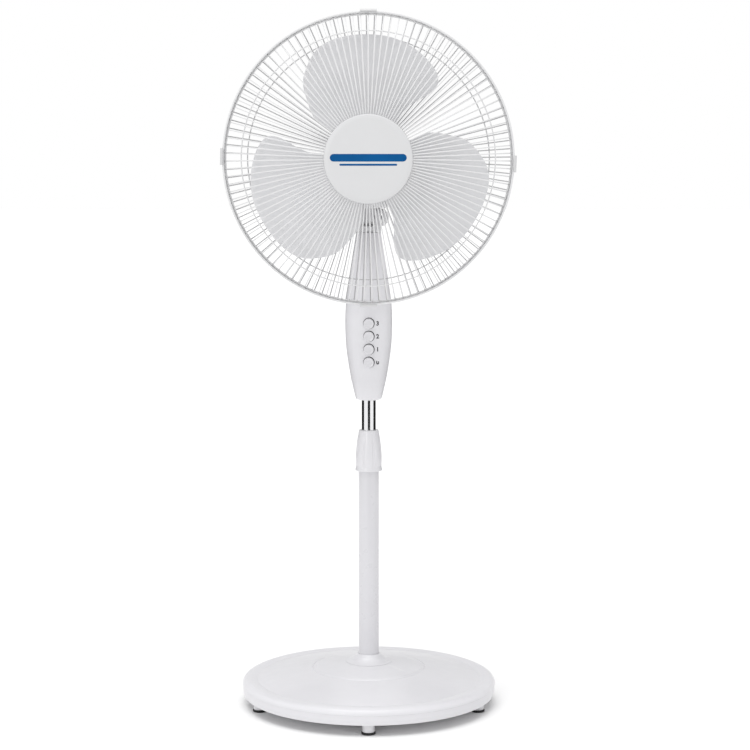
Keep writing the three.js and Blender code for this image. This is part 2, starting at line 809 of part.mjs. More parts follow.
function oscillationKnob() {
  const profile = [
    [0, 870],
    [3, 870],
    [3, 907],
    [6.4, 907],
    [7, 909],
    [6.6, 919],
    [5, 920.5],
    [0, 920.5],
  ];
  return turnedZ(profile, 16, WHEEL_X, WHEEL_Y);
}

// ---------- fan wheel ----------

const v2 = (x, y) => new THREE.Vector2(x, y);
// Edges of the blade at the top, in degrees from the right by share of its length: the rear edge leads.
const leadEdge = new THREE.SplineCurve([
  v2(0, 52.5), v2(0.26, 53.4), v2(0.35, 53.8), v2(0.53, 51.9), v2(0.7, 48.3), v2(0.88, 46.2), v2(1, 47.4),
]);
const trailEdge = new THREE.SplineCurve([
  v2(0, 143), v2(0.23, 143.6), v2(0.41, 143.6), v2(0.61, 136.9), v2(0.78, 131.7), v2(0.9, 124.9), v2(1, 118),
]);
// Tip radius across the chord, from the cornered leading tip to the round trailing one.
const tipEdge = new THREE.SplineCurve([
  v2(0, 154), v2(0.08, 164), v2(0.2, 171.2), v2(0.34, 177), v2(0.46, 180.2), v2(0.6, 181),
  v2(0.76, 181), v2(0.89, 180.2), v2(1, 173.4),
]);

// A point of the blade's middle surface: u from root to tip, v from the leading to the trailing edge.
function bladePoint(u, v, lift) {
  const root = HUB_R - 3;
  const r = root + (curveAt(tipEdge, v) - root) * u;
  const lead = curveAt(leadEdge, u);
  const angle = rad(lead + (curveAt(trailEdge, u) - lead) * v);
  const sweep = 41 - 15 * u;
  const camber = 5 * Math.sin(Math.PI * v);
  const y = -121 + sweep * (0.5 - v) + camber + lift;
  return new THREE.Vector3(r * Math.cos(angle), y, r * Math.sin(angle) + AXIS_Z);
}

function blade() {
  const along = 7;
  const across = 9;
  const side = (lift) =>
    Array.from({ length: along + 1 }, (_, i) =>
      Array.from({ length: across + 1 }, (_, j) => bladePoint(i / along, j / across, lift)));
  return plate(side(-BLADE_T / 2), side(BLADE_T / 2));
}

function fanWheel() {
  const hub = [
    [SHAFT_R + GAP, HUB_FRONT],
    [38, HUB_FRONT],
    [43.5, HUB_FRONT + 4],
    [HUB_R, HUB_BACK],
    [HUB_R - WALL, HUB_BACK],
    [41, HUB_FRONT + 5],
    [10, HUB_FRONT + 5],
    [9.5, HUB_BACK + 4],
    [SHAFT_R + GAP, HUB_BACK + 4],
  ];
  const one = blade();
  let wheel = turnedY(hub, 20);
  for (let i = 0; i < BLADE_COUNT; i++) {
    const turnedBlade = one.translate([0, 0, -AXIS_Z]).rotate([0, (360 * i) / BLADE_COUNT, 0]);
    wheel = wheel.add(turnedBlade.translate([0, 0, AXIS_Z]));
  }
  return wheel.subtract(block(-11.5, 11.5, HUB_BACK, HUB_BACK + 6.2, AXIS_Z - 1.8, AXIS_Z + 1.8));
}

function bladeNut() {
  const profile = [
    [0, -165],
    [6, -164],
    [12, -159],
    [15, -150],
    [15.5, HUB_FRONT - GAP],
    [SHAFT_R + GAP, HUB_FRONT - GAP],
    [SHAFT_R + GAP, SHAFT_FRONT - 1],
    [0, SHAFT_FRONT - 1],
  ];
  return turnedY(profile, 18);
}

function rotorParts() {
  const rotor = subGroup("rotor");
  const pinY = HUB_BACK + 4;
  add("rotor_core", turnedY(tubeProfile(SHAFT_R + GAP, 24, -63, -33), 24), laminated, rotor);
  const shaft = rodY(SHAFT_R, SHAFT_FRONT, 52, 20).subtract(rodAlongX(1.75, -9, 9, pinY, AXIS_Z, 10));
  add("motor_shaft", shaft, steel, rotor);
  add("drive_pin", rodAlongX(1.45, -11, 11, pinY, AXIS_Z, 10), steel, rotor);
  add("worm", wormGear(), steel, rotor);
  add("fan_blade", fanWheel(), bladeGrey, rotor);
  add("blade_nut", bladeNut(), bladeGrey, rotor);
}

// ---------- guards ----------

// A ring of wire of half-thickness `thick` at radius r and depth y, with a three-sided section.
function wireRing(r, y, thick, segments) {
  return turnedY([[r - thick, y - thick], [r + thick, y - thick], [r, y + thick]], segments);
}

// One straight-sided wire through the given [radius, y] points, pointing up.
function spoke(points) {
  const rings = points.map(([r, y]) => [
    new THREE.Vector3(-WIRE_R, y, r),
    new THREE.Vector3(WIRE_R, y, r),
    new THREE.Vector3(0, y + 1.7 * WIRE_R, r),
  ]);
  return skinned(rings);
}

function spokes(points, count, phase) {
  const one = spoke(points);
  const all = [];
  for (let i = 0; i < count; i++) {
    all.push(one.rotate([0, (360 * (i + phase)) / count, 0]).translate([0, 0, AXIS_Z]));
  }
  return wasm.Manifold.union(all);
}

const BRACE_WIRE_R = 1.2;
const FRONT_RING_R = 210.8;
const FRONT_CURVE = [[BADGE_R - 8, -178.6], [147.5, -171], [FRONT_RING_R - 0.3, RING_Y - 1]];
const REAR_CURVE = [[42, -80.8], [153.5, -84], [HOOP_R - 1.9, RING_Y + 3]];

// Depth of a guard's wires at radius r.
function depthAt(points, r) {
  const k = points.findIndex((p) => p[0] > r);
  const [[r0, y0], [r1, y1]] = [points[k - 1], points[k]];
  return y0 + ((y1 - y0) * (r - r0)) / (r1 - r0);
}

// Small blocks that join a brace ring at radius r to the wires outside it.
function welds(r, y, count, phase) {
  const list = [];
  for (let i = 0; i < WELDS; i++) {
    const nearest = Math.round((i * count) / WELDS);
    const bead = block(-0.9, 0.9, y - 1.6, y + 1.6, r - 1, r + 1);
    list.push(bead.rotate([0, (360 * (nearest + phase)) / count, 0]).translate([0, 0, AXIS_Z]));
  }
  return list;
}

function frontGuard() {
  const hubPlate = turnedY(rodProfile(BADGE_R - 4, -179.6, -176), 36);
  const wireY = depthAt(FRONT_CURVE, FRONT_BRACE_R);
  return wasm.Manifold.union([
    hubPlate,
    spokes(FRONT_CURVE, FRONT_SPOKES, 0),
    wireRing(FRONT_BRACE_R, wireY + 3.8, BRACE_WIRE_R, FRONT_SPOKES),
    ...welds(FRONT_BRACE_R, wireY + 1.9, FRONT_SPOKES, 0),
    wireRing(FRONT_RING_R, RING_Y, 1.8, FRONT_SPOKES),
  ]);
}

function rearGuard() {
  const centre = turnedY(tubeProfile(18.4, 46, -81.6, -78.4), REAR_SPOKES / 2);
  const hoop = turnedY(tubeProfile(HOOP_R - 3, HOOP_R, RING_Y - HOOP_HALF, RING_Y + HOOP_HALF), REAR_SPOKES);
  const wireY = depthAt(REAR_CURVE, REAR_BRACE_R);
  return wasm.Manifold.union([
    centre,
    spokes(REAR_CURVE, REAR_SPOKES, 0.25),
    wireRing(REAR_BRACE_R, wireY - 2.6, BRACE_WIRE_R, REAR_SPOKES),
    ...welds(REAR_BRACE_R, wireY - 1, REAR_SPOKES, 0.25),
    hoop,
  ]);
}

// A clip round the hoop, drawn at the top: outer plate, front lip over the front ring, barrel at the back.
function guardClip(degrees) {
  const half = 12.6;
  const lip = HOOP_R - 4.2;
  const inside = HOOP_R + 0.7;
  const outside = HOOP_R + 5.5;
  const profile = [
    [RING_Y - 10, lip],
    [RING_Y - 7, lip],
    [RING_Y - 7, inside],
    [CLIP_HINGE_Y, inside],
    ...arc(CLIP_HINGE_Y, CLIP_HINGE_R, 1.8, -60, 90, 3),
    [RING_Y + 4, outside - 1.1],
    [RING_Y + 1, outside],
    [RING_Y - 8, outside],
    [RING_Y - 10, outside - 2],
  ];
  const shape = new THREE.Shape(profile.map(([y, r]) => v2(y, r)));
  const geometry = new THREE.ExtrudeGeometry(shape, { depth: 2 * half, bevelEnabled: false });
  geometry.translate(0, 0, -half);
  geometry.applyMatrix4(new THREE.Matrix4().set(0, 0, 1, 0, 1, 0, 0, 0, 0, 1, 0, 0, 0, 0, 0, 1));
  return solid(geometry).rotate([0, 90 - degrees, 0]).translate([0, 0, AXIS_Z]);
}

function frontBadge() {
  const profile = [
    [0, -184],
    [BADGE_R - 1.5, -184],
    [BADGE_R, -183],
    [BADGE_R, -179.7],
    [0, -179.7],
  ];
  return turnedY(profile, 36);
}

function headParts() {
  const head = subGroup("head");
  add("gearbox_case", gearboxCase(), castAlloy, head);
  add("gearbox_lid", gearboxLid(), castAlloy, head);
  add("motor_front_bell", motorFrontBell(), castAlloy, head);
  add("motor_rear_bell", motorRearBell(), castAlloy, head);
  add("motor_rear_cover", rearCover(), white, head);
  add("stator_core", statorCore(), laminated, head);
  add("stator_winding_front", windingEnd(-73, -62.3), copper, head);
  add("stator_winding_rear", windingEnd(-33.7, -23), copper, head);
  add("front_bush", turnedY(tubeProfile(SHAFT_R + BUSH_PLAY, 8.7, -90, -74), 20), bronze, head);
  const rearBush = tubeProfile(SHAFT_R + BUSH_PLAY, 8.7, BELL_BACK - 5, BELL_BACK);
  add("rear_bush", turnedY(rearBush, 20), bronze, head);
  add("rear_guard", rearGuard(), wire, head);
  add("guard_nut", turnedY(tubeProfile(18.5, 30, -89, -81.9), 24), white, head);
  add("front_guard", frontGuard(), wire, head);
  add("front_badge", frontBadge(), badgeWhite, head);
}

standParts();
add("height_collar", heightCollar(), white, subGroup("collar"));
mastParts();
const controls = subGroup("controls");
BUTTON_Z.forEach((z, i) => add(`button_${i}`, button(z), white, controls));
add("tilt_knob", tiltKnob(), white, controls);
const yoke = subGroup("yoke");
add("neck_yoke", neckYoke(), white, yoke);
add("pivot_pin", rodZ(SHAFT_R, 783, 830, 0, 0, 24), steel, yoke);
headParts();
rotorParts();
const drive = subGroup("oscillation_drive");
add("worm_wheel", wormWheel(), nylon, drive);
add("crank_gear", crankGear(), nylon, drive);
add("swing_link", swingLink(), steel, drive);
add("oscillation_knob", oscillationKnob(), white, drive);
const clips = subGroup("guard_clips");
CLIP_ANGLES.forEach((a, i) => add(`guard_clip_${i + 1}`, guardClip(a), white, clips));

export default fan;
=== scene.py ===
"""Looks of the pedestal fan, built round its CAD frame. Helpers take millimetres; the scene is in metres."""

import json
import math

import bmesh
import bpy
import numpy as np
from mathutils import Matrix, Vector


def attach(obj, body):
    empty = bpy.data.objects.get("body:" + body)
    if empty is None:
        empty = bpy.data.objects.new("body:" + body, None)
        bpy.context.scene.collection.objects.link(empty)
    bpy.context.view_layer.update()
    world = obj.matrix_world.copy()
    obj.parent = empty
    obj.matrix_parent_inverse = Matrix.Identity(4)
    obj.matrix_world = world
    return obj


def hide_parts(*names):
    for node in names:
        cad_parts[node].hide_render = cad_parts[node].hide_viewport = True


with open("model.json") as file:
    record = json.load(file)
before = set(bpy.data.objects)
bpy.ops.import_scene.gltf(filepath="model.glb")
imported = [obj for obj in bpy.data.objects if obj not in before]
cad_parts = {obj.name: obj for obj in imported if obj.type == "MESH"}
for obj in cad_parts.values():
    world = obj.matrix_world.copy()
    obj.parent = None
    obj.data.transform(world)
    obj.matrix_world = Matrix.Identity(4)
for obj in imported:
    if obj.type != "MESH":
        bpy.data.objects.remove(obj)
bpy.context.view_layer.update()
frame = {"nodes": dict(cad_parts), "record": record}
scene = bpy.context.scene
MM = 0.001
TAU = 2 * math.pi

# Sizes shared by several pieces, in millimetres
AXIS_Z = 858
TILT_Z = 768
HOUSING_BOTTOM = 484
HOUSING_TOP = 745
BUTTON_Z = [545.1, 565.4, 585.5, 605.6]
BUTTON_R = 8.0
WELL_R = 8.8
DIGIT_TURN = 0.36
SUPERELLIPSE = 0.86
BADGE_R = 65
HOOP_R = 216.3
HOOP_HALF = 6
RING_Y = -130
FRONT_WIRES = 115
REAR_WIRES = 108
WIRE_R = 1.0
FOOT_CIRCLE_R = 179
CLIP_ANGLES = [90, 179, 270, 358.1]
GEAR_PLACE = (-20, 24, 0)
GLAND_Z = 520
CLAMP_SCREW_Z = 501
REAR_SCREW = (22, 0, 621)
FRONT_RIM_R = 211.6
FRONT_BRACE_R = 186.5
REAR_BRACE_R = 181
BRACE_WIRE_R = 0.9

# ---------- camera ----------

camera_data = bpy.data.cameras.new("camera")
camera = bpy.data.objects.new("camera", camera_data)
scene.collection.objects.link(camera)
camera.location = (0.0098, -3.11, 0.8602)
camera.rotation_euler = (math.radians(90 - 6.199), 0, 0)
camera_data.lens = 96.09
camera_data.sensor_width = 36
camera_data.clip_end = 100
scene.camera = camera
scene.view_settings.view_transform = "Standard"

# ---------- materials ----------


def new_material(name):
    """A material with its node tree and its shader."""
    material = bpy.data.materials.new(name)
    material.use_nodes = True
    tree = material.node_tree
    return material, tree, tree.nodes["Principled BSDF"]


def noise(tree, coords, scale, detail=4, rough=0.5, stretch=None):
    """Fractal noise over object coordinates; stretch scales each axis first."""
    node = tree.nodes.new("ShaderNodeTexNoise")
    node.inputs["Scale"].default_value = scale
    node.inputs["Detail"].default_value = detail
    node.inputs["Roughness"].default_value = rough
    source = coords
    if stretch:
        mapping = tree.nodes.new("ShaderNodeMapping")
        mapping.inputs["Scale"].default_value = stretch
        tree.links.new(coords, mapping.inputs["Vector"])
        source = mapping.outputs["Vector"]
    tree.links.new(source, node.inputs["Vector"])
    return node.outputs["Fac"]


def ramp(tree, factor, stops):
    """A colour ramp over (position, colour) stops."""
    node = tree.nodes.new("ShaderNodeValToRGB")
    elements = node.color_ramp.elements
    while len(elements) < len(stops):
        elements.new(0.5)
    for element, (position, colour) in zip(elements, stops):
        element.position = position
        element.color = (*colour, 1)
    tree.links.new(factor, node.inputs["Fac"])
    return node.outputs["Color"]


def spread(tree, factor, low, high, source_low=0.3, source_high=0.7):
    """A value mapped from one range to another."""
    node = tree.nodes.new("ShaderNodeMapRange")
    node.inputs["From Min"].default_value = source_low
    node.inputs["From Max"].default_value = source_high
    node.inputs["To Min"].default_value = low
    node.inputs["To Max"].default_value = high
    tree.links.new(factor, node.inputs["Value"])
    return node.outputs["Result"]


def shade(colour, amount):
    """A colour made lighter or darker, kept within 0 and 1."""
    return tuple(min(1, max(0, c * amount)) for c in colour)


def surface(name, colour, rough, metallic=0.0, grain=900, bump=0.05, vary=0.03, stretch=None, coat=0.0,
            wear=None, gloss=0.5, painted_light=None):
    """A moulded, painted or machined surface: blotchy tone, uneven gloss, fine grain and worn edges.

    painted_light is (low, high, stops): painted light and shade, the tone scaled between two heights in
    millimetres by (share, amount).
    """
    material, tree, shader = new_material(name)
    coords = tree.nodes.new("ShaderNodeTexCoord").outputs["Object"]
    blotch = noise(tree, coords, 26, 5, 0.6)
    tone = ramp(tree, blotch, [(0.3, shade(colour, 1 - vary)), (0.7, shade(colour, 1 + vary))])
    fine = noise(tree, coords, grain, 2, 0.5, stretch)
    if wear:
        geometry = tree.nodes.new("ShaderNodeNewGeometry")
        edge = spread(tree, geometry.outputs["Pointiness"], 0, 1, 0.52, 0.6)
        broken = tree.nodes.new("ShaderNodeMath")
        broken.operation = "MULTIPLY"
        tree.links.new(edge, broken.inputs[0])
        tree.links.new(noise(tree, coords, 240, 3, 0.6), broken.inputs[1])
        mix = tree.nodes.new("ShaderNodeMix")
        mix.data_type = "RGBA"
        tree.links.new(broken.outputs["Value"], mix.inputs["Factor"])
        tree.links.new(tone, mix.inputs["A"])
        mix.inputs["B"].default_value = (*wear, 1)
        tone = mix.outputs["Result"]
    # Painted light and shade: the tone multiplied by a ramp over height.
    if painted_light:
        low, high, stops = painted_light
        height = tree.nodes.new("ShaderNodeSeparateXYZ")
        tree.links.new(coords, height.inputs["Vector"])
        share = spread(tree, height.outputs["Z"], 0, 1, low * MM, high * MM)
        graded = tree.nodes.new("ShaderNodeMix")
        graded.data_type = "RGBA"
        graded.blend_type = "MULTIPLY"
        graded.inputs["Factor"].default_value = 1
        tree.links.new(tone, graded.inputs["A"])
        greys = [(part, (amount, amount, amount)) for part, amount in stops]
        tree.links.new(ramp(tree, share, greys), graded.inputs["B"])
        tone = graded.outputs["Result"]
    tree.links.new(tone, shader.inputs["Base Color"])
    gloss_noise = noise(tree, coords, 60, 4, 0.6)
    tree.links.new(spread(tree, gloss_noise, rough * 0.82, rough * 1.2), shader.inputs["Roughness"])
    relief = tree.nodes.new("ShaderNodeBump")
    relief.inputs["Strength"].default_value = bump
    relief.inputs["Distance"].default_value = 0.0004
    tree.links.new(fine, relief.inputs["Height"])
    tree.links.new(relief.outputs["Normal"], shader.inputs["Normal"])
    shader.inputs["Metallic"].default_value = metallic
    shader.inputs["Coat Weight"].default_value = coat
    shader.inputs["Coat Roughness"].default_value = 0.12
    shader.inputs["Specular IOR Level"].default_value = gloss
    return material


PLASTIC_WHITE = (0.692, 0.687, 0.712)
WORN_WHITE = (0.74, 0.74, 0.75)
# Painted light and shade on the housing by height (share of the height, amount): lighter where the head's
# shadow falls, darker near the bottom and at the top.
HOUSING_PAINTED_LIGHT_TONES = [(0, 0.97), (0.12, 0.93), (0.4, 0.98), (0.6, 1.03), (0.83, 1.12), (1, 0.97)]
HOUSING_PAINTED_LIGHT = (HOUSING_BOTTOM, HOUSING_TOP, HOUSING_PAINTED_LIGHT_TONES)
LOOKS = {
    "white_plastic": dict(colour=PLASTIC_WHITE, rough=0.34, grain=1400, bump=0.06, vary=0.012, coat=0.15,
                          wear=WORN_WHITE),
    "white_paint": dict(colour=(0.655, 0.65, 0.675), rough=0.3, grain=700, bump=0.09, vary=0.012, coat=0.25),
    # A lighter copy of the white plastic for the housing and collar: painted light, with painted light and
    # shade by height.
    "housing_plastic_painted_light": dict(colour=(0.742, 0.737, 0.762), rough=0.34, grain=1400, bump=0.06, vary=0.012,
                            coat=0.15, wear=WORN_WHITE, painted_light=HOUSING_PAINTED_LIGHT),
    "shaded_plastic": dict(colour=(0.7, 0.697, 0.71), rough=0.42, grain=1400, bump=0.06, vary=0.02),
    # A darker copy of the white plastic: painted shade on the guard clips.
    "clip_painted_shade_plastic": dict(colour=(0.6, 0.6, 0.605), rough=0.36, grain=1300, bump=0.05, vary=0.012),
    "wire_paint": dict(colour=(0.7, 0.7, 0.707), rough=0.3, bump=0.08, vary=0.02, coat=0.2),
    # A darker copy of the wire paint: painted shade on the rear guard's wires.
    "rear_wire_paint": dict(colour=(0.6, 0.6, 0.606), rough=0.34, bump=0.08, vary=0.02),
    "ring_paint": dict(colour=(0.72, 0.72, 0.725), rough=0.45, bump=0.08, vary=0.03, gloss=0.3),
    "blade_plastic": dict(colour=(0.712, 0.713, 0.727), rough=0.4, grain=1100, bump=0.05, vary=0.015),
    "badge_plastic": dict(colour=(0.635, 0.637, 0.645), rough=0.38, grain=1500, bump=0.04, vary=0.01),
    "foot_rubber": dict(colour=(0.018, 0.018, 0.019), rough=0.75, grain=500, bump=0.3, vary=0.25,
                        wear=(0.06, 0.06, 0.06)),
    "black_plastic": dict(colour=(0.03, 0.03, 0.032), rough=0.5, bump=0.15, vary=0.2),
    "steel": dict(colour=(0.55, 0.56, 0.58), rough=0.3, metallic=1, grain=600, bump=0.12, vary=0.08,
                  stretch=(1, 0.08, 1)),
    "chrome_tube": dict(colour=(0.76, 0.76, 0.77), rough=0.09, metallic=1, grain=700, bump=0.006, vary=0.02,
                        stretch=(1, 1, 0.03)),
    "cast_alloy": dict(colour=(0.46, 0.47, 0.49), rough=0.5, metallic=0.9, grain=350, bump=0.35, vary=0.1,
                       wear=(0.65, 0.66, 0.67)),
    "lamination": dict(colour=(0.2, 0.2, 0.22), rough=0.5, metallic=0.8, bump=0.5, vary=0.15,
                       stretch=(0.02, 1, 0.02)),
    "winding_copper": dict(colour=(0.55, 0.22, 0.08), rough=0.35, metallic=0.9, grain=500, bump=0.6, vary=0.2,
                           stretch=(1, 0.2, 1)),
    "bush_bronze": dict(colour=(0.5, 0.32, 0.12), rough=0.45, metallic=0.9, bump=0.3, vary=0.12),
    "gear_nylon": dict(colour=(0.72, 0.69, 0.6), rough=0.5, grain=700, bump=0.1, vary=0.04),
    "ballast": dict(colour=(0.3, 0.29, 0.27), rough=0.9, grain=220, bump=0.9, vary=0.2),
    "mark_blue": dict(colour=(0.002, 0.082, 0.25), rough=0.5, bump=0.08, vary=0.1, gloss=0.08),
    "mark_grey": dict(colour=(0.02, 0.02, 0.023), rough=0.5, bump=0.1, vary=0.12, gloss=0.1),
}
looks = {name: surface(name, **settings) for name, settings in LOOKS.items()}

# ---------- mesh helpers ----------


def rounded(points, steps=5):
    """A closed outline in which a third number on a point rounds its corner by about that radius."""
    out = []
    for i, point in enumerate(points):
        here = np.array(point[:2], float)
        radius = point[2] if len(point) > 2 else 0
        if not radius:
            out.append(here)
            continue
        a = np.array(points[i - 1][:2], float) - here
        b = np.array(points[(i + 1) % len(points)][:2], float) - here
        la, lb = np.linalg.norm(a), np.linalg.norm(b)
        half = math.acos(float(np.clip((a @ b) / (la * lb), -1, 1))) / 2
        reach = min(radius / math.tan(half), 0.49 * la, 0.49 * lb)
        start, end = here + a / la * reach, here + b / lb * reach
        for k in range(steps + 1):
            s = k / steps
            out.append((1 - s) ** 2 * start + 2 * s * (1 - s) * here + s * s * end)
    return out


def make(name, verts, faces, look, body, replaces=(), sharp=32, slot=None):
    """A piece from vertices in millimetres, its faces turned outward, named after the part that it shows."""
    mesh = bpy.data.meshes.new(name)
    mesh.from_pydata((np.array(verts, float) * MM).tolist(), [], faces)
    bm = bmesh.new()
    bm.from_mesh(mesh)
    bmesh.ops.remove_doubles(bm, verts=bm.verts, dist=1e-7)
    bmesh.ops.recalc_face_normals(bm, faces=bm.faces)
    bm.to_mesh(mesh)
    bm.free()
    piece = bpy.data.objects.new(f"{name}_visual", mesh)
    scene.collection.objects.link(piece)
    return dress(piece, look, body, replaces, sharp)


def smooth(mesh, sharp):
    """Smooth shading but for edges sharper than `sharp` degrees."""
    mesh.polygons.foreach_set("use_smooth", [True] * len(mesh.polygons))
    mesh.set_sharp_from_angle(angle=math.radians(sharp))


def dress(piece, look, body, replaces=(), sharp=32):
    """Gives a piece its material and shading, hangs it on its body and hides the CAD parts that it replaces.
    """
    piece.data.materials.clear()
    piece.data.materials.append(looks[look])
    smooth(piece.data, sharp)
    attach(piece, body)
    if replaces:
        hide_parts(*replaces)
    return piece


def place(axis, r, c, s, h, at):
    """A point of a turned shape about an axis through `at`."""
    if axis == "Z":
        return (at[0] + r * c, at[1] + r * s, at[2] + h)
    if axis == "Y":
        return (at[0] + r * c, at[1] + h, at[2] + r * s)
    return (at[0] + h, at[1] + r * c, at[2] + r * s)


def turned_data(profile, axis="Z", at=(0, 0, 0), segments=96, steps=5):
    """Vertices and faces of a closed profile of (radius, height[, rounding]) turned about an axis."""
    points = rounded(profile, steps)
    verts, rows, faces = [], [], []
    for r, h in points:
        if r < 1e-6:
            rows.append([len(verts)])
            verts.append(place(axis, 0, 0, 0, h, at))
            continue
        rows.append(list(range(len(verts), len(verts) + segments)))
        for k in range(segments):
            a = TAU * k / segments
            verts.append(place(axis, r, math.cos(a), math.sin(a), h, at))
    for a, b in zip(rows, rows[1:] + rows[:1]):
        if len(a) == 1 and len(b) == 1:
            continue
        for k in range(segments):
            m = (k + 1) % segments
            if len(a) == 1:
                faces.append((a[0], b[m], b[k]))
            elif len(b) == 1:
                faces.append((a[k], a[m], b[0]))
            else:
                faces.append((a[k], a[m], b[m], b[k]))
    return verts, faces


def turned(name, profile, look, body, replaces=(), axis="Z", at=(0, 0, 0), segments=96, sharp=32, steps=5,
           slot=None):
    """A piece turned from a closed profile."""
    verts, faces = turned_data(profile, axis, at, segments, steps)
    return make(name, verts, faces, look, body, replaces, sharp, slot)


def join_data(*parts):
    """Several (vertices, faces) as one."""
    verts, faces = [], []
    for some_verts, some_faces in parts:
        base = len(verts)
        verts += [tuple(v) for v in some_verts]
        faces += [tuple(i + base for i in f) for f in some_faces]
    return verts, faces


def skin_data(rings, cap=True):
    """Quads over rings of the same number of points, with n-gon ends."""
    count = len(rings[0])
    verts = [tuple(p) for ring in rings for p in ring]
    faces = []
    for k in range(len(rings) - 1):
        for i in range(count):
            j = (i + 1) % count
            a, b = k * count + i, k * count + j
            faces.append((a, b, b + count, a + count))
    if cap:
        faces.append(tuple(reversed(range(count))))
        faces.append(tuple(range((len(rings) - 1) * count, len(rings) * count)))
    return verts, faces


def prism_data(outline, low, high, axis):
    """A flat outline extruded along an axis: (y, z) for X, (x, z) for Y, (x, y) for Z."""
    def point(a, b, c):
        if axis == "X":
            return (c, a, b)
        return (a, c, b) if axis == "Y" else (a, b, c)
    return skin_data([[point(a, b, c) for a, b in outline] for c in (low, high)])


def bake(piece):
    """Turns the modifiers into plain mesh."""
    graph = bpy.context.evaluated_depsgraph_get()
    mesh = bpy.data.meshes.new_from_object(piece.evaluated_get(graph))
    piece.modifiers.clear()
    piece.data = mesh
    return piece


def carve(piece, cutters):
    """Cuts solids, given as (vertices, faces), out of a piece."""
    for verts, faces in cutters:
        tool = make("cutter", verts, faces, "steel", "stand")
        modifier = piece.modifiers.new("cut", "BOOLEAN")
        modifier.object = tool
        modifier.solver = "EXACT"
        bake(piece)
        bpy.data.objects.remove(tool)
    return piece


def soften(piece, width, segments=3, angle=30):
    """Rounds the edges of a piece by a width in millimetres."""
    modifier = piece.modifiers.new("round", "BEVEL")
    modifier.width = width * MM
    modifier.segments = segments
    modifier.limit_method = "ANGLE"
    modifier.angle_limit = math.radians(angle)
    modifier.harden_normals = False
    return bake(piece)


def finish_piece(piece, sharp=32):
    """Shading after cuts and rounding."""
    bm = bmesh.new()
    bm.from_mesh(piece.data)
    bmesh.ops.remove_doubles(bm, verts=bm.verts, dist=2e-6)
    bmesh.ops.dissolve_degenerate(bm, edges=bm.edges, dist=1e-6)
    bm.to_mesh(piece.data)
    bm.free()
    smooth(piece.data, sharp)
    return piece


def spline(points, at):
    """Smooth curve through (x, y) points, read at the given x values."""
    xs = np.array([p[0] for p in points], float)
    ys = np.array([p[1] for p in points], float)
    slope = np.gradient(ys, xs)
    at = np.clip(np.asarray(at, float), xs[0], xs[-1])
    k = np.clip(np.searchsorted(xs, at) - 1, 0, len(xs) - 2)
    step = xs[k + 1] - xs[k]
    t = (at - xs[k]) / step
    return ((2 * t**3 - 3 * t**2 + 1) * ys[k] + (t**3 - 2 * t**2 + t) * step * slope[k]
            + (3 * t**2 - 2 * t**3) * ys[k + 1] + (t**3 - t**2) * step * slope[k + 1])


def turn(points, angle, about=AXIS_Z):
    """Points turned about the fan's axis, anticlockwise seen from the front, by an angle in radians."""
    points = np.asarray(points, float)
    c, s = math.cos(angle), math.sin(angle)
    x, z = points[:, 0], points[:, 2] - about
    return np.column_stack([x * c - z * s, points[:, 1], x * s + z * c + about])


def around(data, count, phase=0.0):
    """Copies of (vertices, faces) spread round the fan's axis."""
    verts, faces = data
    parts = [(turn(verts, TAU * (k + phase) / count), faces) for k in range(count)]
    return join_data(*parts)


# ---------- stand ----------


def base_cover():
    """The dome: a fat rim, a narrow groove, a gentle dome, a fine step round the inner disc."""
    profile = [
        (197.6, 17.5), (199.2, 24, 3), (199.3, 32.1, 0.3), (200, 32.9, 0.5), (199.7, 36, 4), (197, 40.2, 5),
        (190.5, 42.6, 6), (184, 42.6, 5), (179.4, 41.9, 3), (176.4, 41.2, 2), (173.4, 41.9, 3),
    ]
    for r in (165, 152, 138, 124, 110, 98):
        t = (173.4 - r) / 84
        profile.append((r, 42 + 15.2 * t + 1.1 * math.sin(math.pi * t)))
    profile += [
        (89.5, 57.3, 1), (88.4, 56.5, 0.4), (87.4, 57.5, 0.6), (84, 59.2, 2), (70, 61.6, 6), (54, 64, 6),
        (38, 66.6, 3), (20, 67.8), (20, 65.5), (88, 54.4), (176, 36.5), (192, 38), (196.5, 33), (195, 17.5),
    ]
    turned("base_cover", profile, "white_plastic", "stand", ["base_cover"], segments=192, sharp=50)


def foot_places():
    """Number and place of each foot, the first one at the front."""
    for i in range(5):
        a = math.radians(-90 + 72 * i)
        yield i + 1, FOOT_CIRCLE_R * math.cos(a), FOOT_CIRCLE_R * math.sin(a)


def base_underside():
    """The bottom plate with its five posts, and a rubber pad under each."""
    plate = turned_data([(4.5, 17.9), (193, 17.9, 0.5), (193, 20.4, 0.5), (4.5, 20.4)], segments=160)
    posts = []
    for number, x, y in foot_places():
        post = [(0, 17.9), (0, 3.3), (9.4, 3.3, 0.8), (9.8, 17.9)]
        posts.append(turned_data(post, at=(x, y, 0), segments=40))
        foot = [(0, 0), (10.6, 0, 0.7), (10.8, 3, 0.5), (0, 3)]
        name = f"foot_pad_{number}"
        turned(name, foot, "foot_rubber", "stand", [name], at=(x, y, 0), segments=48)
    verts, faces = join_data(plate, *posts)
    make("base_plate", verts, faces, "white_plastic", "stand", ["base_plate"])


def pole():
    """The flared socket on the base, the painted outer tube and the chrome tube that slides in it."""
    socket = [
        (16.4, 66.9), (37, 66.9), (36.8, 67.3, 0.3), (32.4, 68.2, 3), (28, 69.9, 4), (24, 72.4, 4),
        (21, 75.2, 4), (19, 78, 2), (18, 79.4, 0.6), (16.4, 79.4),
    ]
    turned("pole_socket", socket, "white_plastic", "stand", ["pole_socket"], segments=128)
    tube = [(14.5, 20.7), (16, 20.7), (16, 412, 0.5), (14.5, 412, 0.4)]
    turned("outer_pole", tube, "white_paint", "stand", ["outer_pole"], segments=128)
    inner = [(9.8, 120), (11, 120, 0.3), (11, 705, 0.3), (9.8, 705)]
    turned("inner_pole", inner, "chrome_tube", "mast", ["inner_pole"], segments=128)


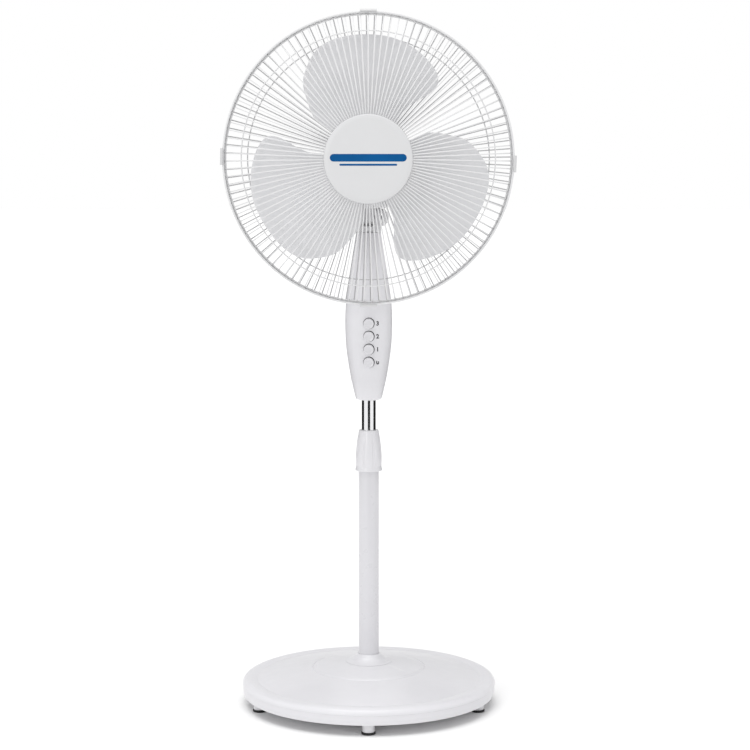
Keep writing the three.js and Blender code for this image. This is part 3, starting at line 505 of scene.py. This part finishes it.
def height_collar():
    """The clamping collar: a bulging sleeve with a small foot and eight shallow grooves."""
    shape = [
        (372, 20.5), (372.5, 20.9), (374.4, 20.9), (375.8, 20.5), (379, 20.1), (385, 20.2), (393, 20.2),
        (401, 19.8), (409, 19.2), (417, 18.3), (425, 17.1), (431, 16), (435, 15.3), (436.3, 14.7),
    ]
    segments, levels = 160, 70
    heights = np.linspace(372, 436.3, levels)
    radii = spline(shape, heights)
    rings = []
    for z, r in zip(heights, radii):
        end = min(1.0, max(0.0, (z - 377) / 3)) * min(1.0, max(0.0, (430 - z) / 14))
        ring = []
        for k in range(segments):
            a = TAU * k / segments
            near = math.cos(8 * (a + math.pi / 2) + math.pi)
            dip = 1.0 * end * max(0.0, (near - 0.72) / 0.28) ** 0.8
            ring.append(((r - dip) * math.cos(a), (r - dip) * math.sin(a), z))
        rings.append(ring)
    turns = [TAU * k / segments for k in range(segments)]
    inner = [[(q * math.cos(a), q * math.sin(a), z) for a in turns]
             for q, z in ((13.2, 436.4), (11.5, 436), (11.5, 433), (16.5, 413), (16.5, 372))]
    verts, faces = skin_data(rings + inner, cap=False)
    last = (len(rings) + len(inner) - 1) * segments
    faces += [(k, (k + 1) % segments, last + (k + 1) % segments, last + k) for k in range(segments)]
    make("height_collar", verts, faces, "housing_plastic_painted_light", "collar", ["height_collar"], sharp=50,
         slot="white_plastic")


# ---------- control housing ----------

HOUSING_WIDTH = [
    (484, 17.6), (485.2, 19.2), (488, 20.4), (497.5, 22.9), (507, 25.1), (516, 27.2), (526, 29), (535, 30.6),
    (545, 32.1), (554, 33.4), (567, 34.9), (582, 36), (596, 36.4), (610, 36.5), (623, 36.1), (640, 35),
    (654, 33), (669, 30.8), (683, 28.6), (703, 25.4), (723, 22.3), (741, 19.6), (745, 19.1),
]
HOUSING_DEPTH = [
    (484, 16.6), (485.2, 18), (488, 19.2), (497.5, 21.9), (507, 24.2), (516, 26), (526, 27.7), (535, 29),
    (545, 30), (554, 30.6), (567, 31), (582, 31.2), (596, 31.2), (610, 31.2), (623, 30.9), (640, 30),
    (654, 28.6), (669, 27), (683, 25.5), (703, 23.2), (723, 20.9), (741, 18.7), (745, 18.3),
]


def housing_ring(z, inset, low, high, steps):
    """Part of the housing's section at a height: angles from low to high degrees, front at 270."""
    a = float(spline(HOUSING_WIDTH, z)) - inset
    b = float(spline(HOUSING_DEPTH, z)) - inset
    ring = []
    for k in range(steps + 1):
        t = math.radians(low + (high - low) * k / steps)
        c, s = math.cos(t), math.sin(t)
        x = a * math.copysign(abs(c) ** SUPERELLIPSE, c)
        y = b * math.copysign(abs(s) ** SUPERELLIPSE, s)
        ring.append((x, y, z))
    return ring


def housing_half(name, low, high, look):
    """One moulded half: outer skin, inner skin and the rims between them."""
    heights = [484, 484.25, 484.7, 485.4, 486.4] + list(np.linspace(488, 745, 84))
    steps = 72
    rings = []
    for z in heights:
        lip = max(0.0, 485.6 - z) ** 2 * 0.55
        outer = housing_ring(z, lip, low + 0.25, high - 0.25, steps)
        inner = housing_ring(max(z, HOUSING_BOTTOM), 2.4, low + 0.25, high - 0.25, steps)
        rings.append(outer + inner[::-1])
    verts, faces = skin_data(rings, cap=False)
    count = len(rings[0])
    last = (len(rings) - 1) * count
    for base in (0, last):
        for k in range(steps):
            faces.append((base + k, base + k + 1, base + count - 2 - k, base + count - 1 - k))
    return make(name, verts, faces, look, "mast", [name], slot="white_plastic")


def control_housing():
    """Both halves of the housing, with wells for the keys, holes at the back and a floor round the tube."""
    front = housing_half("control_housing_front", 180, 360, "housing_plastic_painted_light")
    wells = []
    for z in BUTTON_Z:
        well = [(0, -60), (WELL_R, -60), (WELL_R, -20), (0, -20)]
        wells.append(turned_data(well, "Y", (0.4, 0, z + 0.3), 64))
    carve(front, wells)
    finish_piece(front, 30)
    rear = housing_half("control_housing_rear", 0, 180, "housing_plastic_painted_light")
    tools = []
    holes = ((4.4, (0, 0, GLAND_Z), 40), (3, (0, 0, CLAMP_SCREW_Z), 32), (2.6, REAR_SCREW, 32))
    for hole_r, at, segments in holes:
        tools.append(turned_data([(0, 10), (hole_r, 10), (hole_r, 50), (0, 50)], "Y", at, segments))
    carve(rear, tools)
    finish_piece(rear, 30)
    floor = [(11.4, 484.1), (15.8, 484.1, 0.2), (15.8, 486.4), (11.4, 486.4)]
    turned("housing_floor", floor, "white_plastic", "mast", segments=96)


def buttons():
    """Round keys with a slightly dished, softly edged face."""
    for i, z in enumerate(BUTTON_Z):
        face = [(0, -35.4), (BUTTON_R - 3, -35.5, 2), (BUTTON_R - 1.2, -36, 0.8), (BUTTON_R, -35, 0.8),
                (BUTTON_R, -29.5), (2.4, -29.5), (2.4, -19.6), (0, -19.6)]
        turned(f"button_{i}", face, "white_plastic", f"button_{i}", [f"button_{i}"], "Y", (0, 0, z), 64)


def button_digits():
    """Small printed numbers to the right of the keys."""
    for i, z in enumerate(BUTTON_Z):
        curve = bpy.data.curves.new(f"digit_{i}", "FONT")
        curve.body = str(i)
        curve.size = 9 * MM
        curve.align_x = "CENTER"
        curve.align_y = "CENTER"
        curve.extrude = 0.12 * MM
        curve.offset = 0.28 * MM
        digit = bpy.data.objects.new(f"digit_{i}", curve)
        scene.collection.objects.link(digit)
        x = 13.9
        b = float(spline(HOUSING_DEPTH, z))
        a = float(spline(HOUSING_WIDTH, z))
        c = (x / a) ** (1 / SUPERELLIPSE)
        y = -b * math.sqrt(1 - c * c) ** SUPERELLIPSE
        digit.location = (x * MM, (y - 0.05) * MM, (z - 0.2) * MM)
        digit.rotation_euler = (math.radians(90), 0, DIGIT_TURN)
        bpy.context.view_layer.update()
        graph = bpy.context.evaluated_depsgraph_get()
        mesh = bpy.data.meshes.new_from_object(digit.evaluated_get(graph))
        mesh.transform(digit.matrix_world)
        bpy.data.objects.remove(digit)
        solid = bpy.data.objects.new(f"digit_{i}", mesh)
        scene.collection.objects.link(solid)
        dress(solid, "mark_grey", "mast")


def housing_fittings():
    """The cord's gland and the two screws at the back."""
    wall = float(spline(HOUSING_DEPTH, GLAND_Z))
    gland = [(2.4, wall - 5), (4, wall - 5), (4, wall + 0.5), (6.2, wall + 0.7, 0.3), (6, wall + 2.6, 0.8),
             (4.6, wall + 3.2, 0.6), (2.4, wall + 3.2, 0.4)]
    turned("cord_gland", gland, "black_plastic", "mast", ["cord_gland"], "Y", (0, 0, GLAND_Z), 48)
    wall = float(spline(HOUSING_DEPTH, CLAMP_SCREW_Z))
    screw("pole_clamp_screw", 3.8, wall + 1.6, wall + 3.7, 2, 11.4, (0, 0, CLAMP_SCREW_Z))
    screw("housing_screw", 3.4, 27.8, 29.6, 1.6, -12, REAR_SCREW)


def screw(name, head_r, head_low, head_high, r, tip, at):
    """A pan-head screw along Y with a cross recess."""
    profile = [(0, tip), (r, tip, 0.4), (r, head_low), (head_r, head_low, 0.3),
               (head_r, head_high - 0.6, 0.8), (head_r * 0.5, head_high, 1), (0, head_high)]
    piece = turned(name, profile, "steel", "mast", [name], "Y", at, 40)
    depth = (head_high - 1.1, head_high + 1)
    cutters = []
    x, z = at[0], at[2]
    for w, h in ((0.5, head_r * 0.62), (head_r * 0.62, 0.5)):
        outline = [(x - w, z - h), (x + w, z - h), (x + w, z + h), (x - w, z + h)]
        cutters.append(prism_data(outline, *depth, "Y"))
    carve(piece, cutters)
    finish_piece(piece)


# ---------- neck ----------


def neck():
    """The fork of the mast, the yoke that tilts in it and the knob that clamps it."""
    bottom = HOUSING_TOP + 0.3
    outline = [(-16, bottom), (16, bottom)] + [
        (16 * math.cos(math.radians(a)), TILT_Z + 16 * math.sin(math.radians(a))) for a in range(0, 181, 9)]
    verts, faces = prism_data(outline, -19.2, 19.2, "X")
    clevis = make("neck_clevis", verts, faces, "shaded_plastic", "mast", ["neck_clevis"],
                  slot="white_plastic")
    soften(clevis, 1.8, 4, 40)
    slot_box = [(-40, TILT_Z - 13.6), (40, TILT_Z - 13.6), (40, TILT_Z + 40), (-40, TILT_Z + 40)]
    carve(clevis, [prism_data(slot_box, -9.5, 9.5, "X"),
                   turned_data([(0, -40), (3.4, -40), (3.4, 40), (0, 40)], "X", (0, 0, TILT_Z), 32)])
    finish_piece(clevis)
    flutes = 24
    rings = []
    knob = ((20, 12.2), (20.4, 13.2), (21.4, 13.6), (23.6, 13.2), (26, 11.4), (28.4, 8.6), (30.2, 5.8),
            (31, 4))
    for x, r in knob:
        ring = []
        for k in range(flutes * 6):
            a = TAU * k / (flutes * 6)
            grip = 0.35 * (1 + math.cos(flutes * a)) / 2 if 21 < x < 31 else 0
            ring.append((x, (r - grip) * math.cos(a), TILT_Z + (r - grip) * math.sin(a)))
        rings.append(ring)
    make("tilt_knob", *skin_data(rings), "shaded_plastic", "tilt_knob", ["tilt_knob"], sharp=40,
         slot="white_plastic")
    yoke_lug = [(13 * math.cos(math.radians(a)), TILT_Z + 13 * math.sin(math.radians(a)))
                for a in range(180, 361, 9)]
    yoke_lug += [(12.2, TILT_Z + 6), (12.2, 790), (-12.2, 790), (-12.2, TILT_Z + 6)]
    lug = make("neck_yoke_lug", *prism_data(yoke_lug, -9.2, 9.2, "X"), "shaded_plastic", "yoke",
               slot="white_plastic")
    soften(lug, 1.2, 3, 40)
    finish_piece(lug)
    platform = [(0, 786), (20.5, 786, 0.5), (21, 782.6, 0.6), (26, 782.8, 1), (32, 786, 3), (35.6, 791, 3),
                (36, 797.6, 1), (34.8, 800, 1), (4.3, 800), (4.3, 790), (0, 790)]
    turned("neck_yoke", platform, "shaded_plastic", "yoke", ["neck_yoke"], segments=96, slot="white_plastic")
    pillar = [(2.3, 798), (4.6, 798), (4.6, 822.2, 0.4), (2.3, 822.2, 0.3)]
    turned("neck_yoke_pillar", pillar, "white_plastic", "yoke", at=(-17, 0, 0), segments=48)


# ---------- motor housing ----------


def rear_cover():
    """The motor's shell: a smooth barrel with five vents in its rounded back, open below over the pivot."""
    outer = [(49, -78, 0.4), (50, -74.5, 2), (50, -30, 20), (50, 36, 20), (48.6, 54, 10), (44.5, 70, 9),
             (36, 81.5, 9), (20, 87.6, 12), (0, 88.5)]
    inner = [(0, 86), (20, 85.2), (34, 79.4), (42.2, 68), (46.2, 53), (47.5, 36), (47.5, -74), (47.5, -78)]
    cover = turned("motor_rear_cover", outer + inner, "white_plastic", "head", ["motor_rear_cover"], "Y",
                   (0, 0, AXIS_Z), 128, steps=8)
    tools = [turned_data([(0, 780), (31, 780), (31, 840), (0, 840)], "Z", (0, 0, 0), 96),
             turned_data([(0, 880), (4.2, 880), (4.2, 920), (0, 920)], "Z", GEAR_PLACE, 40)]
    for k in (-2, -1, 0, 1, 2):
        half = 20 - 3.2 * abs(k)
        slot_outline = []
        for side in (1, -1):
            for a in range(0, 181, 20):
                angle = math.radians(a if side > 0 else a + 180)
                slot_outline.append((k * 8.5 + 1.7 * math.cos(angle), AXIS_Z + side * (half - 1.7)
                                     + 1.7 * math.sin(angle)))
        tools.append(prism_data(slot_outline, 60, 100, "Y"))
    carve(cover, tools)
    finish_piece(cover, 28)


def oscillation_knob():
    """The small pull knob on top of the motor cover."""
    profile = [(0, 870), (3, 870), (3, 907), (6.6, 907.2, 0.4), (7, 909.4, 0.6), (6.2, 915, 3),
               (6.8, 919, 0.8), (5.6, 920.6, 0.8), (0, 920.8)]
    turned("oscillation_knob", profile, "white_plastic", "oscillation_knob", ["oscillation_knob"], "Z",
           GEAR_PLACE, 64)


# ---------- fan wheel ----------

# Edges of the blade at the top as (share of its length, degrees from the right)
LEAD_EDGE = [(0, 52.5), (0.15, 53), (0.26, 53.4), (0.353, 53.8), (0.44, 53.2), (0.528, 51.9), (0.62, 50),
             (0.697, 48.3), (0.79, 46.9), (0.88, 46.4), (0.95, 46.6), (1, 47.4)]
TRAIL_EDGE = [(0, 143), (0.2265, 143.4), (0.34, 144.1), (0.41, 143.6), (0.5, 141), (0.613, 136.9),
              (0.7, 134.2), (0.78, 131.7), (0.84, 128.8), (0.9, 124.9), (0.95, 121.6), (1, 118)]
# Radius of the tip as (share of the way from the leading to the trailing edge, radius)
TIP_EDGE = [(0, 154), (0.03, 159.4), (0.082, 165), (0.14, 169.2), (0.2025, 172.8), (0.337, 179),
            (0.455, 182.3), (0.589, 183.1), (0.763, 183.1), (0.85, 182.4), (0.9, 181), (0.945, 178.4),
            (0.975, 176), (1, 173.6)]
BLADE_T = 2.2
BLADE_MID_Y = -121
HUB_R = 45


def blade_point(u, v, lift):
    """u from the root to the tip, v from the leading to the trailing edge."""
    root = HUB_R - 2.5
    r = root + (float(spline(TIP_EDGE, v)) - root) * u
    lead = float(spline(LEAD_EDGE, u))
    angle = math.radians(lead + (float(spline(TRAIL_EDGE, u)) - lead) * v)
    sweep = 41 - 15 * u
    camber = 5 * math.sin(math.pi * v)
    y = BLADE_MID_Y + sweep * (0.5 - v) + camber + lift
    return (r * math.cos(angle), y, AXIS_Z + r * math.sin(angle))


def fan_wheel():
    """Three twisted blades with thin rounded edges on a hub, and the nut in front."""
    along, across = 26, 34
    us = [i / along for i in range(along + 1)]
    vs = [j / across for j in range(across + 1)]
    verts, faces = [], []
    for side in (-1, 1):
        for u in us:
            for v in vs:
                edge = min(v, 1 - v) * 90
                tip = (1 - u) * 130
                near = min(edge, tip, 2.2) / 2.2
                thick = BLADE_T / 2 * (1 - (1 - near) ** 2) ** 0.5
                verts.append(blade_point(u, v, side * max(thick, 0.08)))
    row = across + 1
    sheet = row * (along + 1)
    for i in range(along):
        for j in range(across):
            a = i * row + j
            faces.append((a, a + 1, a + row + 1, a + row))
            faces.append((sheet + a, sheet + a + row, sheet + a + row + 1, sheet + a + 1))
    rim = [i * row for i in range(along + 1)]
    rim += [along * row + j for j in range(1, across + 1)]
    rim += [i * row + across for i in range(along - 1, -1, -1)]
    rim += [j for j in range(across - 1, 0, -1)]
    for a, b in zip(rim, rim[1:] + rim[:1]):
        faces.append((a, b, b + sheet, a + sheet))
    hub = [(4.3, -146), (37, -146, 3), (43, -143.2, 4), (44.6, -136, 4), (45, -97, 0.5), (42.5, -97, 0.5),
           (41, -141), (10, -141), (9.5, -93), (4.3, -93)]
    data = join_data(around((verts, faces), 3), turned_data(hub, "Y", (0, 0, AXIS_Z), 128))
    make("fan_blade", *data, "blade_plastic", "rotor", ["fan_blade"], sharp=60)
    nut = [(0, -165), (5, -164.4, 3), (11, -160.5, 4), (14.4, -152, 3), (15.4, -146.4, 0.5), (4.3, -146.4),
           (4.3, -159), (0, -159)]
    turned("blade_nut", nut, "blade_plastic", "rotor", ["blade_nut"], "Y", (0, 0, AXIS_Z), 64)


# ---------- guards ----------

# Depth of the wires by radius
FRONT_WIRE = [(57, -178.4), (75, -178.2), (100, -177.2), (125, -174.8), (150, -170.6), (170, -165),
              (186, -158.4), (198, -150.4), (206, -142), (210.2, -135), (211, -130.5)]
REAR_WIRE = [(42, -80.4), (70, -80.6), (100, -81), (130, -82.2), (150, -84), (166, -87.4), (180.4, -93.4),
             (193, -102.4), (203, -112.4), (210, -121.4), (213.6, -128)]


def wire_data(points, radius, sides=6, steps=26):
    """A round wire through (radius, depth) points, standing straight up from the fan's axis."""
    points = np.array(points, float)
    length = np.concatenate([[0], np.cumsum(np.hypot(*np.diff(points, axis=0).T))])
    at = np.linspace(0, length[-1], steps)
    rs = spline(list(zip(length, points[:, 0])), at)
    ys = spline(list(zip(length, points[:, 1])), at)
    dr, dy = np.gradient(rs), np.gradient(ys)
    size = np.hypot(dr, dy)
    rings = []
    for r, y, nr, ny in zip(rs, ys, -dy / size, dr / size):
        ring = []
        for k in range(sides):
            a = TAU * k / sides
            off = radius * math.cos(a)
            ring.append((radius * math.sin(a), y + ny * off, AXIS_Z + r + nr * off))
        rings.append(ring)
    return skin_data(rings)


def ring_data(r, y, radius, sides=10, segments=220):
    """A round wire bent to a ring about the fan's axis."""
    profile = []
    for k in range(sides):
        a = TAU * k / sides
        profile.append((r + radius * math.cos(a), y + radius * math.sin(a)))
    return turned_data(profile, "Y", (0, 0, AXIS_Z), segments)


def guards():
    """Both wire guards with all their wires, the rims they meet in and the nut that holds the rear one."""
    wire = wire_data(FRONT_WIRE, WIRE_R)
    plate = turned_data([(0, -179.4), (61, -179.4, 0.5), (61, -176, 0.5), (0, -176)], "Y", (0, 0, AXIS_Z), 96)
    brace_y = float(spline(FRONT_WIRE, FRONT_BRACE_R)) + 1.7
    brace = ring_data(FRONT_BRACE_R, brace_y, BRACE_WIRE_R)
    front = join_data(around(wire, FRONT_WIRES), plate, brace)
    make("front_guard", *front, "wire_paint", "head", ["front_guard"], sharp=60)
    rim = ring_data(FRONT_RIM_R, RING_Y - 0.4, 1.35)
    make("front_guard_ring", *rim, "ring_paint", "head", sharp=60, slot="wire_paint")
    wire = wire_data(REAR_WIRE, WIRE_R)
    centre = turned_data([(18.4, -81.6), (46, -81.6, 0.8), (46, -78.4, 0.8), (18.4, -78.4)], "Y",
                         (0, 0, AXIS_Z), 96)
    brace_y = float(spline(REAR_WIRE, REAR_BRACE_R)) - 1.7
    brace = ring_data(REAR_BRACE_R, brace_y, BRACE_WIRE_R)
    band = [(HOOP_R - 3, RING_Y + HOOP_HALF, 1.2), (HOOP_R, RING_Y + HOOP_HALF, 2.4),
            (HOOP_R, RING_Y - HOOP_HALF, 2.4), (HOOP_R - 3, RING_Y - HOOP_HALF, 1.2)]
    hoop = turned_data(band, "Y", (0, 0, AXIS_Z), 240)
    rear = join_data(around(wire, REAR_WIRES, 0.25), centre, brace)
    # The rear wires take the darker copy of the wire paint, painted shade.
    make("rear_guard", *rear, "rear_wire_paint", "head", ["rear_guard"], sharp=60, slot="wire_paint")
    make("rear_guard_hoop", *hoop, "wire_paint", "head", sharp=60)
    nut_rings = []
    ribs = 24
    count = ribs * 6
    turns = [TAU * k / count for k in range(count)]
    for y, r in ((-81.9, 28.6), (-82.4, 29.6), (-86.6, 29.6), (-88.4, 28.6), (-89, 27)):
        ring = []
        for a in turns:
            q = r - 0.7 * (0.5 + 0.5 * math.cos(ribs * a))
            ring.append((q * math.cos(a), y, AXIS_Z + q * math.sin(a)))
        nut_rings.append(ring)
    bore = [[(18.6 * math.cos(a), y, AXIS_Z + 18.6 * math.sin(a)) for a in turns] for y in (-89, -81.9)]
    verts, faces = skin_data(nut_rings + bore, cap=False)
    last = (len(nut_rings) + 1) * count
    faces += [(k, (k + 1) % count, last + (k + 1) % count, last + k) for k in range(count)]
    make("guard_nut", verts, faces, "white_plastic", "head", ["guard_nut"], sharp=50)


def badge():
    """The front disc with a plain generic mark: one long bar over a short one."""
    disc = [(0, -183.8), (BADGE_R - 6, -183.9, 8), (BADGE_R - 1.2, -183.2, 1), (BADGE_R, -181.8, 0.8),
            (BADGE_R, -179.7, 0.3), (0, -179.7)]
    turned("front_badge", disc, "badge_plastic", "head", ["front_badge"], "Y", (0, 0, AXIS_Z), 160, sharp=40)
    for name, half, low, high in (("badge_mark_long", 56, -3.6, 7.4), ("badge_mark_short", 42, -9.6, -6.8)):
        radius = (high - low) / 2
        outline = []
        for side in (1, -1):
            for a in range(-90, 91, 15):
                angle = math.radians(a if side > 0 else a + 180)
                outline.append((side * (half - radius) + radius * math.cos(angle),
                                AXIS_Z + (low + high) / 2 + radius * math.sin(angle)))
        bar = prism_data(outline, -184, -183.6, "Y")
        piece = make(name, *bar, "mark_blue", "head", slot="badge_plastic")
        finish_piece(piece)


def guard_clips():
    """Four spring clips over the two rims, each ridged for the thumb and hinged at the back."""
    lip, inside, outside = HOOP_R - 1.6, HOOP_R + 0.6, HOOP_R + 2.6
    section = [
        (RING_Y - 10, lip, 0.5), (RING_Y - 7, lip, 0.5), (RING_Y - 7, inside, 0.4), (-117.6, inside, 0.5),
        (-117.4, HOOP_R + 2.2, 1.2), (RING_Y + 4, outside - 0.8, 2), (RING_Y + 1, outside, 0.6),
        (RING_Y - 1, outside, 0.5), (RING_Y - 1.6, outside - 0.8, 0.4),
        (RING_Y - 2.6, outside - 0.8, 0.4),
        (RING_Y - 3.2, outside, 0.5), (RING_Y - 4.4, outside, 0.5), (RING_Y - 5, outside - 0.8, 0.4),
        (RING_Y - 6, outside - 0.8, 0.4), (RING_Y - 6.6, outside, 0.5), (RING_Y - 8.6, outside, 1),
        (RING_Y - 10, outside - 1.8, 1),
    ]
    outline = [(p[0], AXIS_Z + p[1]) for p in rounded(section, 4)]
    for i, degrees in enumerate(CLIP_ANGLES):
        verts, faces = prism_data(outline, -12.4, 12.4, "X")
        name = f"guard_clip_{i + 1}"
        piece = make(name, verts, faces, "clip_painted_shade_plastic", name, slot="white_plastic")
        soften(piece, 0.4, 3, 50)
        angle = math.radians(degrees - 90)
        about = Matrix.Translation((0, 0, AXIS_Z * MM))
        piece.data.transform(about @ Matrix.Rotation(-angle, 4, "Y") @ about.inverted())
        finish_piece(piece, 40)
        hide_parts(name)


# ---------- the pieces that stay as they are ----------


def dress_frame():
    """Gives every CAD node that is still shown the look of its slot."""
    slots = {part["node"]: part["material_slot"] for part in frame["record"]["subparts"]}
    for name, node in frame["nodes"].items():
        node.data.materials.clear()
        node.data.materials.append(looks[slots[name]])


base_cover()
base_underside()
pole()
height_collar()
control_housing()
buttons()
button_digits()
housing_fittings()
neck()
rear_cover()
oscillation_knob()
fan_wheel()
guards()
badge()
guard_clips()
dress_frame()

# ---------- studio ----------


def studio():
    """A white floor and backdrop, an even sky, and two soft suns from the front and from above."""
    bpy.ops.mesh.primitive_grid_add(x_subdivisions=4, y_subdivisions=4, size=60, location=(0, 0, -0.0003))
    floor = bpy.context.object
    floor.name = "floor"
    material, tree, shader = new_material("studio_floor")
    coords = tree.nodes.new("ShaderNodeTexCoord").outputs["Object"]
    greys = [(0.3, (0.93, 0.93, 0.93)), (0.7, (0.95, 0.95, 0.95))]
    tree.links.new(ramp(tree, noise(tree, coords, 2, 2), greys), shader.inputs["Base Color"])
    shader.inputs["Roughness"].default_value = 0.9
    shader.inputs["Specular IOR Level"].default_value = 0.0
    floor.data.materials.append(material)

    world = bpy.data.worlds.new("studio")
    scene.world = world
    world.use_nodes = True
    tree = world.node_tree
    tree.nodes.clear()
    out = tree.nodes.new("ShaderNodeOutputWorld")
    mix = tree.nodes.new("ShaderNodeMixShader")
    path = tree.nodes.new("ShaderNodeLightPath")
    light = tree.nodes.new("ShaderNodeBackground")
    light.inputs["Color"].default_value = (1, 1, 1, 1)
    light.inputs["Strength"].default_value = 0.75
    seen = tree.nodes.new("ShaderNodeBackground")
    seen.inputs["Color"].default_value = (1, 1, 1, 1)
    seen.inputs["Strength"].default_value = 1.0
    tree.links.new(path.outputs["Is Camera Ray"], mix.inputs["Fac"])
    tree.links.new(light.outputs["Background"], mix.inputs[1])
    tree.links.new(seen.outputs["Background"], mix.inputs[2])
    tree.links.new(mix.outputs["Shader"], out.inputs["Surface"])

    suns = (("key", 0.38, 14, -26, 12), ("top", 1.46, 40, -16, 75))
    for name, strength, degrees, azimuth, elevation in suns:
        sun_data = bpy.data.lights.new(name, "SUN")
        sun_data.energy = strength
        sun_data.angle = math.radians(degrees)
        sun = bpy.data.objects.new(name, sun_data)
        scene.collection.objects.link(sun)
        a, e = math.radians(azimuth), math.radians(elevation)
        ray = Vector((-math.sin(a) * math.cos(e), math.cos(a) * math.cos(e), -math.sin(e)))
        sun.rotation_euler = ray.to_track_quat("-Z", "Y").to_euler()


def card(name, radius, start, end, low, high, tone):
    """An upright curved panel about the pole that only reflections see. Angles: front 0, right 90."""
    steps = max(4, int(abs(end - start) / 4))
    verts, faces = [], []
    for k in range(steps + 1):
        a = math.radians(start + (end - start) * k / steps)
        for z in (low, high):
            verts.append((radius * math.sin(a), -radius * math.cos(a), z))
    for k in range(steps):
        faces.append((2 * k, 2 * k + 2, 2 * k + 3, 2 * k + 1))
    mesh = bpy.data.meshes.new(name)
    mesh.from_pydata(verts, [], faces)
    panel = bpy.data.objects.new(name, mesh)
    scene.collection.objects.link(panel)
    material, _, shader = new_material(name)
    shader.inputs["Base Color"].default_value = (tone, tone, tone, 1)
    shader.inputs["Roughness"].default_value = 1
    shader.inputs["Specular IOR Level"].default_value = 0
    panel.data.materials.append(material)
    panel.visible_camera = False
    panel.visible_diffuse = False
    panel.visible_shadow = False
    panel.visible_transmission = False


studio()
card("card_front", 2.9, -16, 24, 0.0, 0.52, 0.01)
card("card_back_right", 0.45, 81, 166, 0.32, 0.72, 0.02)
card("card_back_left", 0.45, 194, 279, 0.32, 0.72, 0.02)
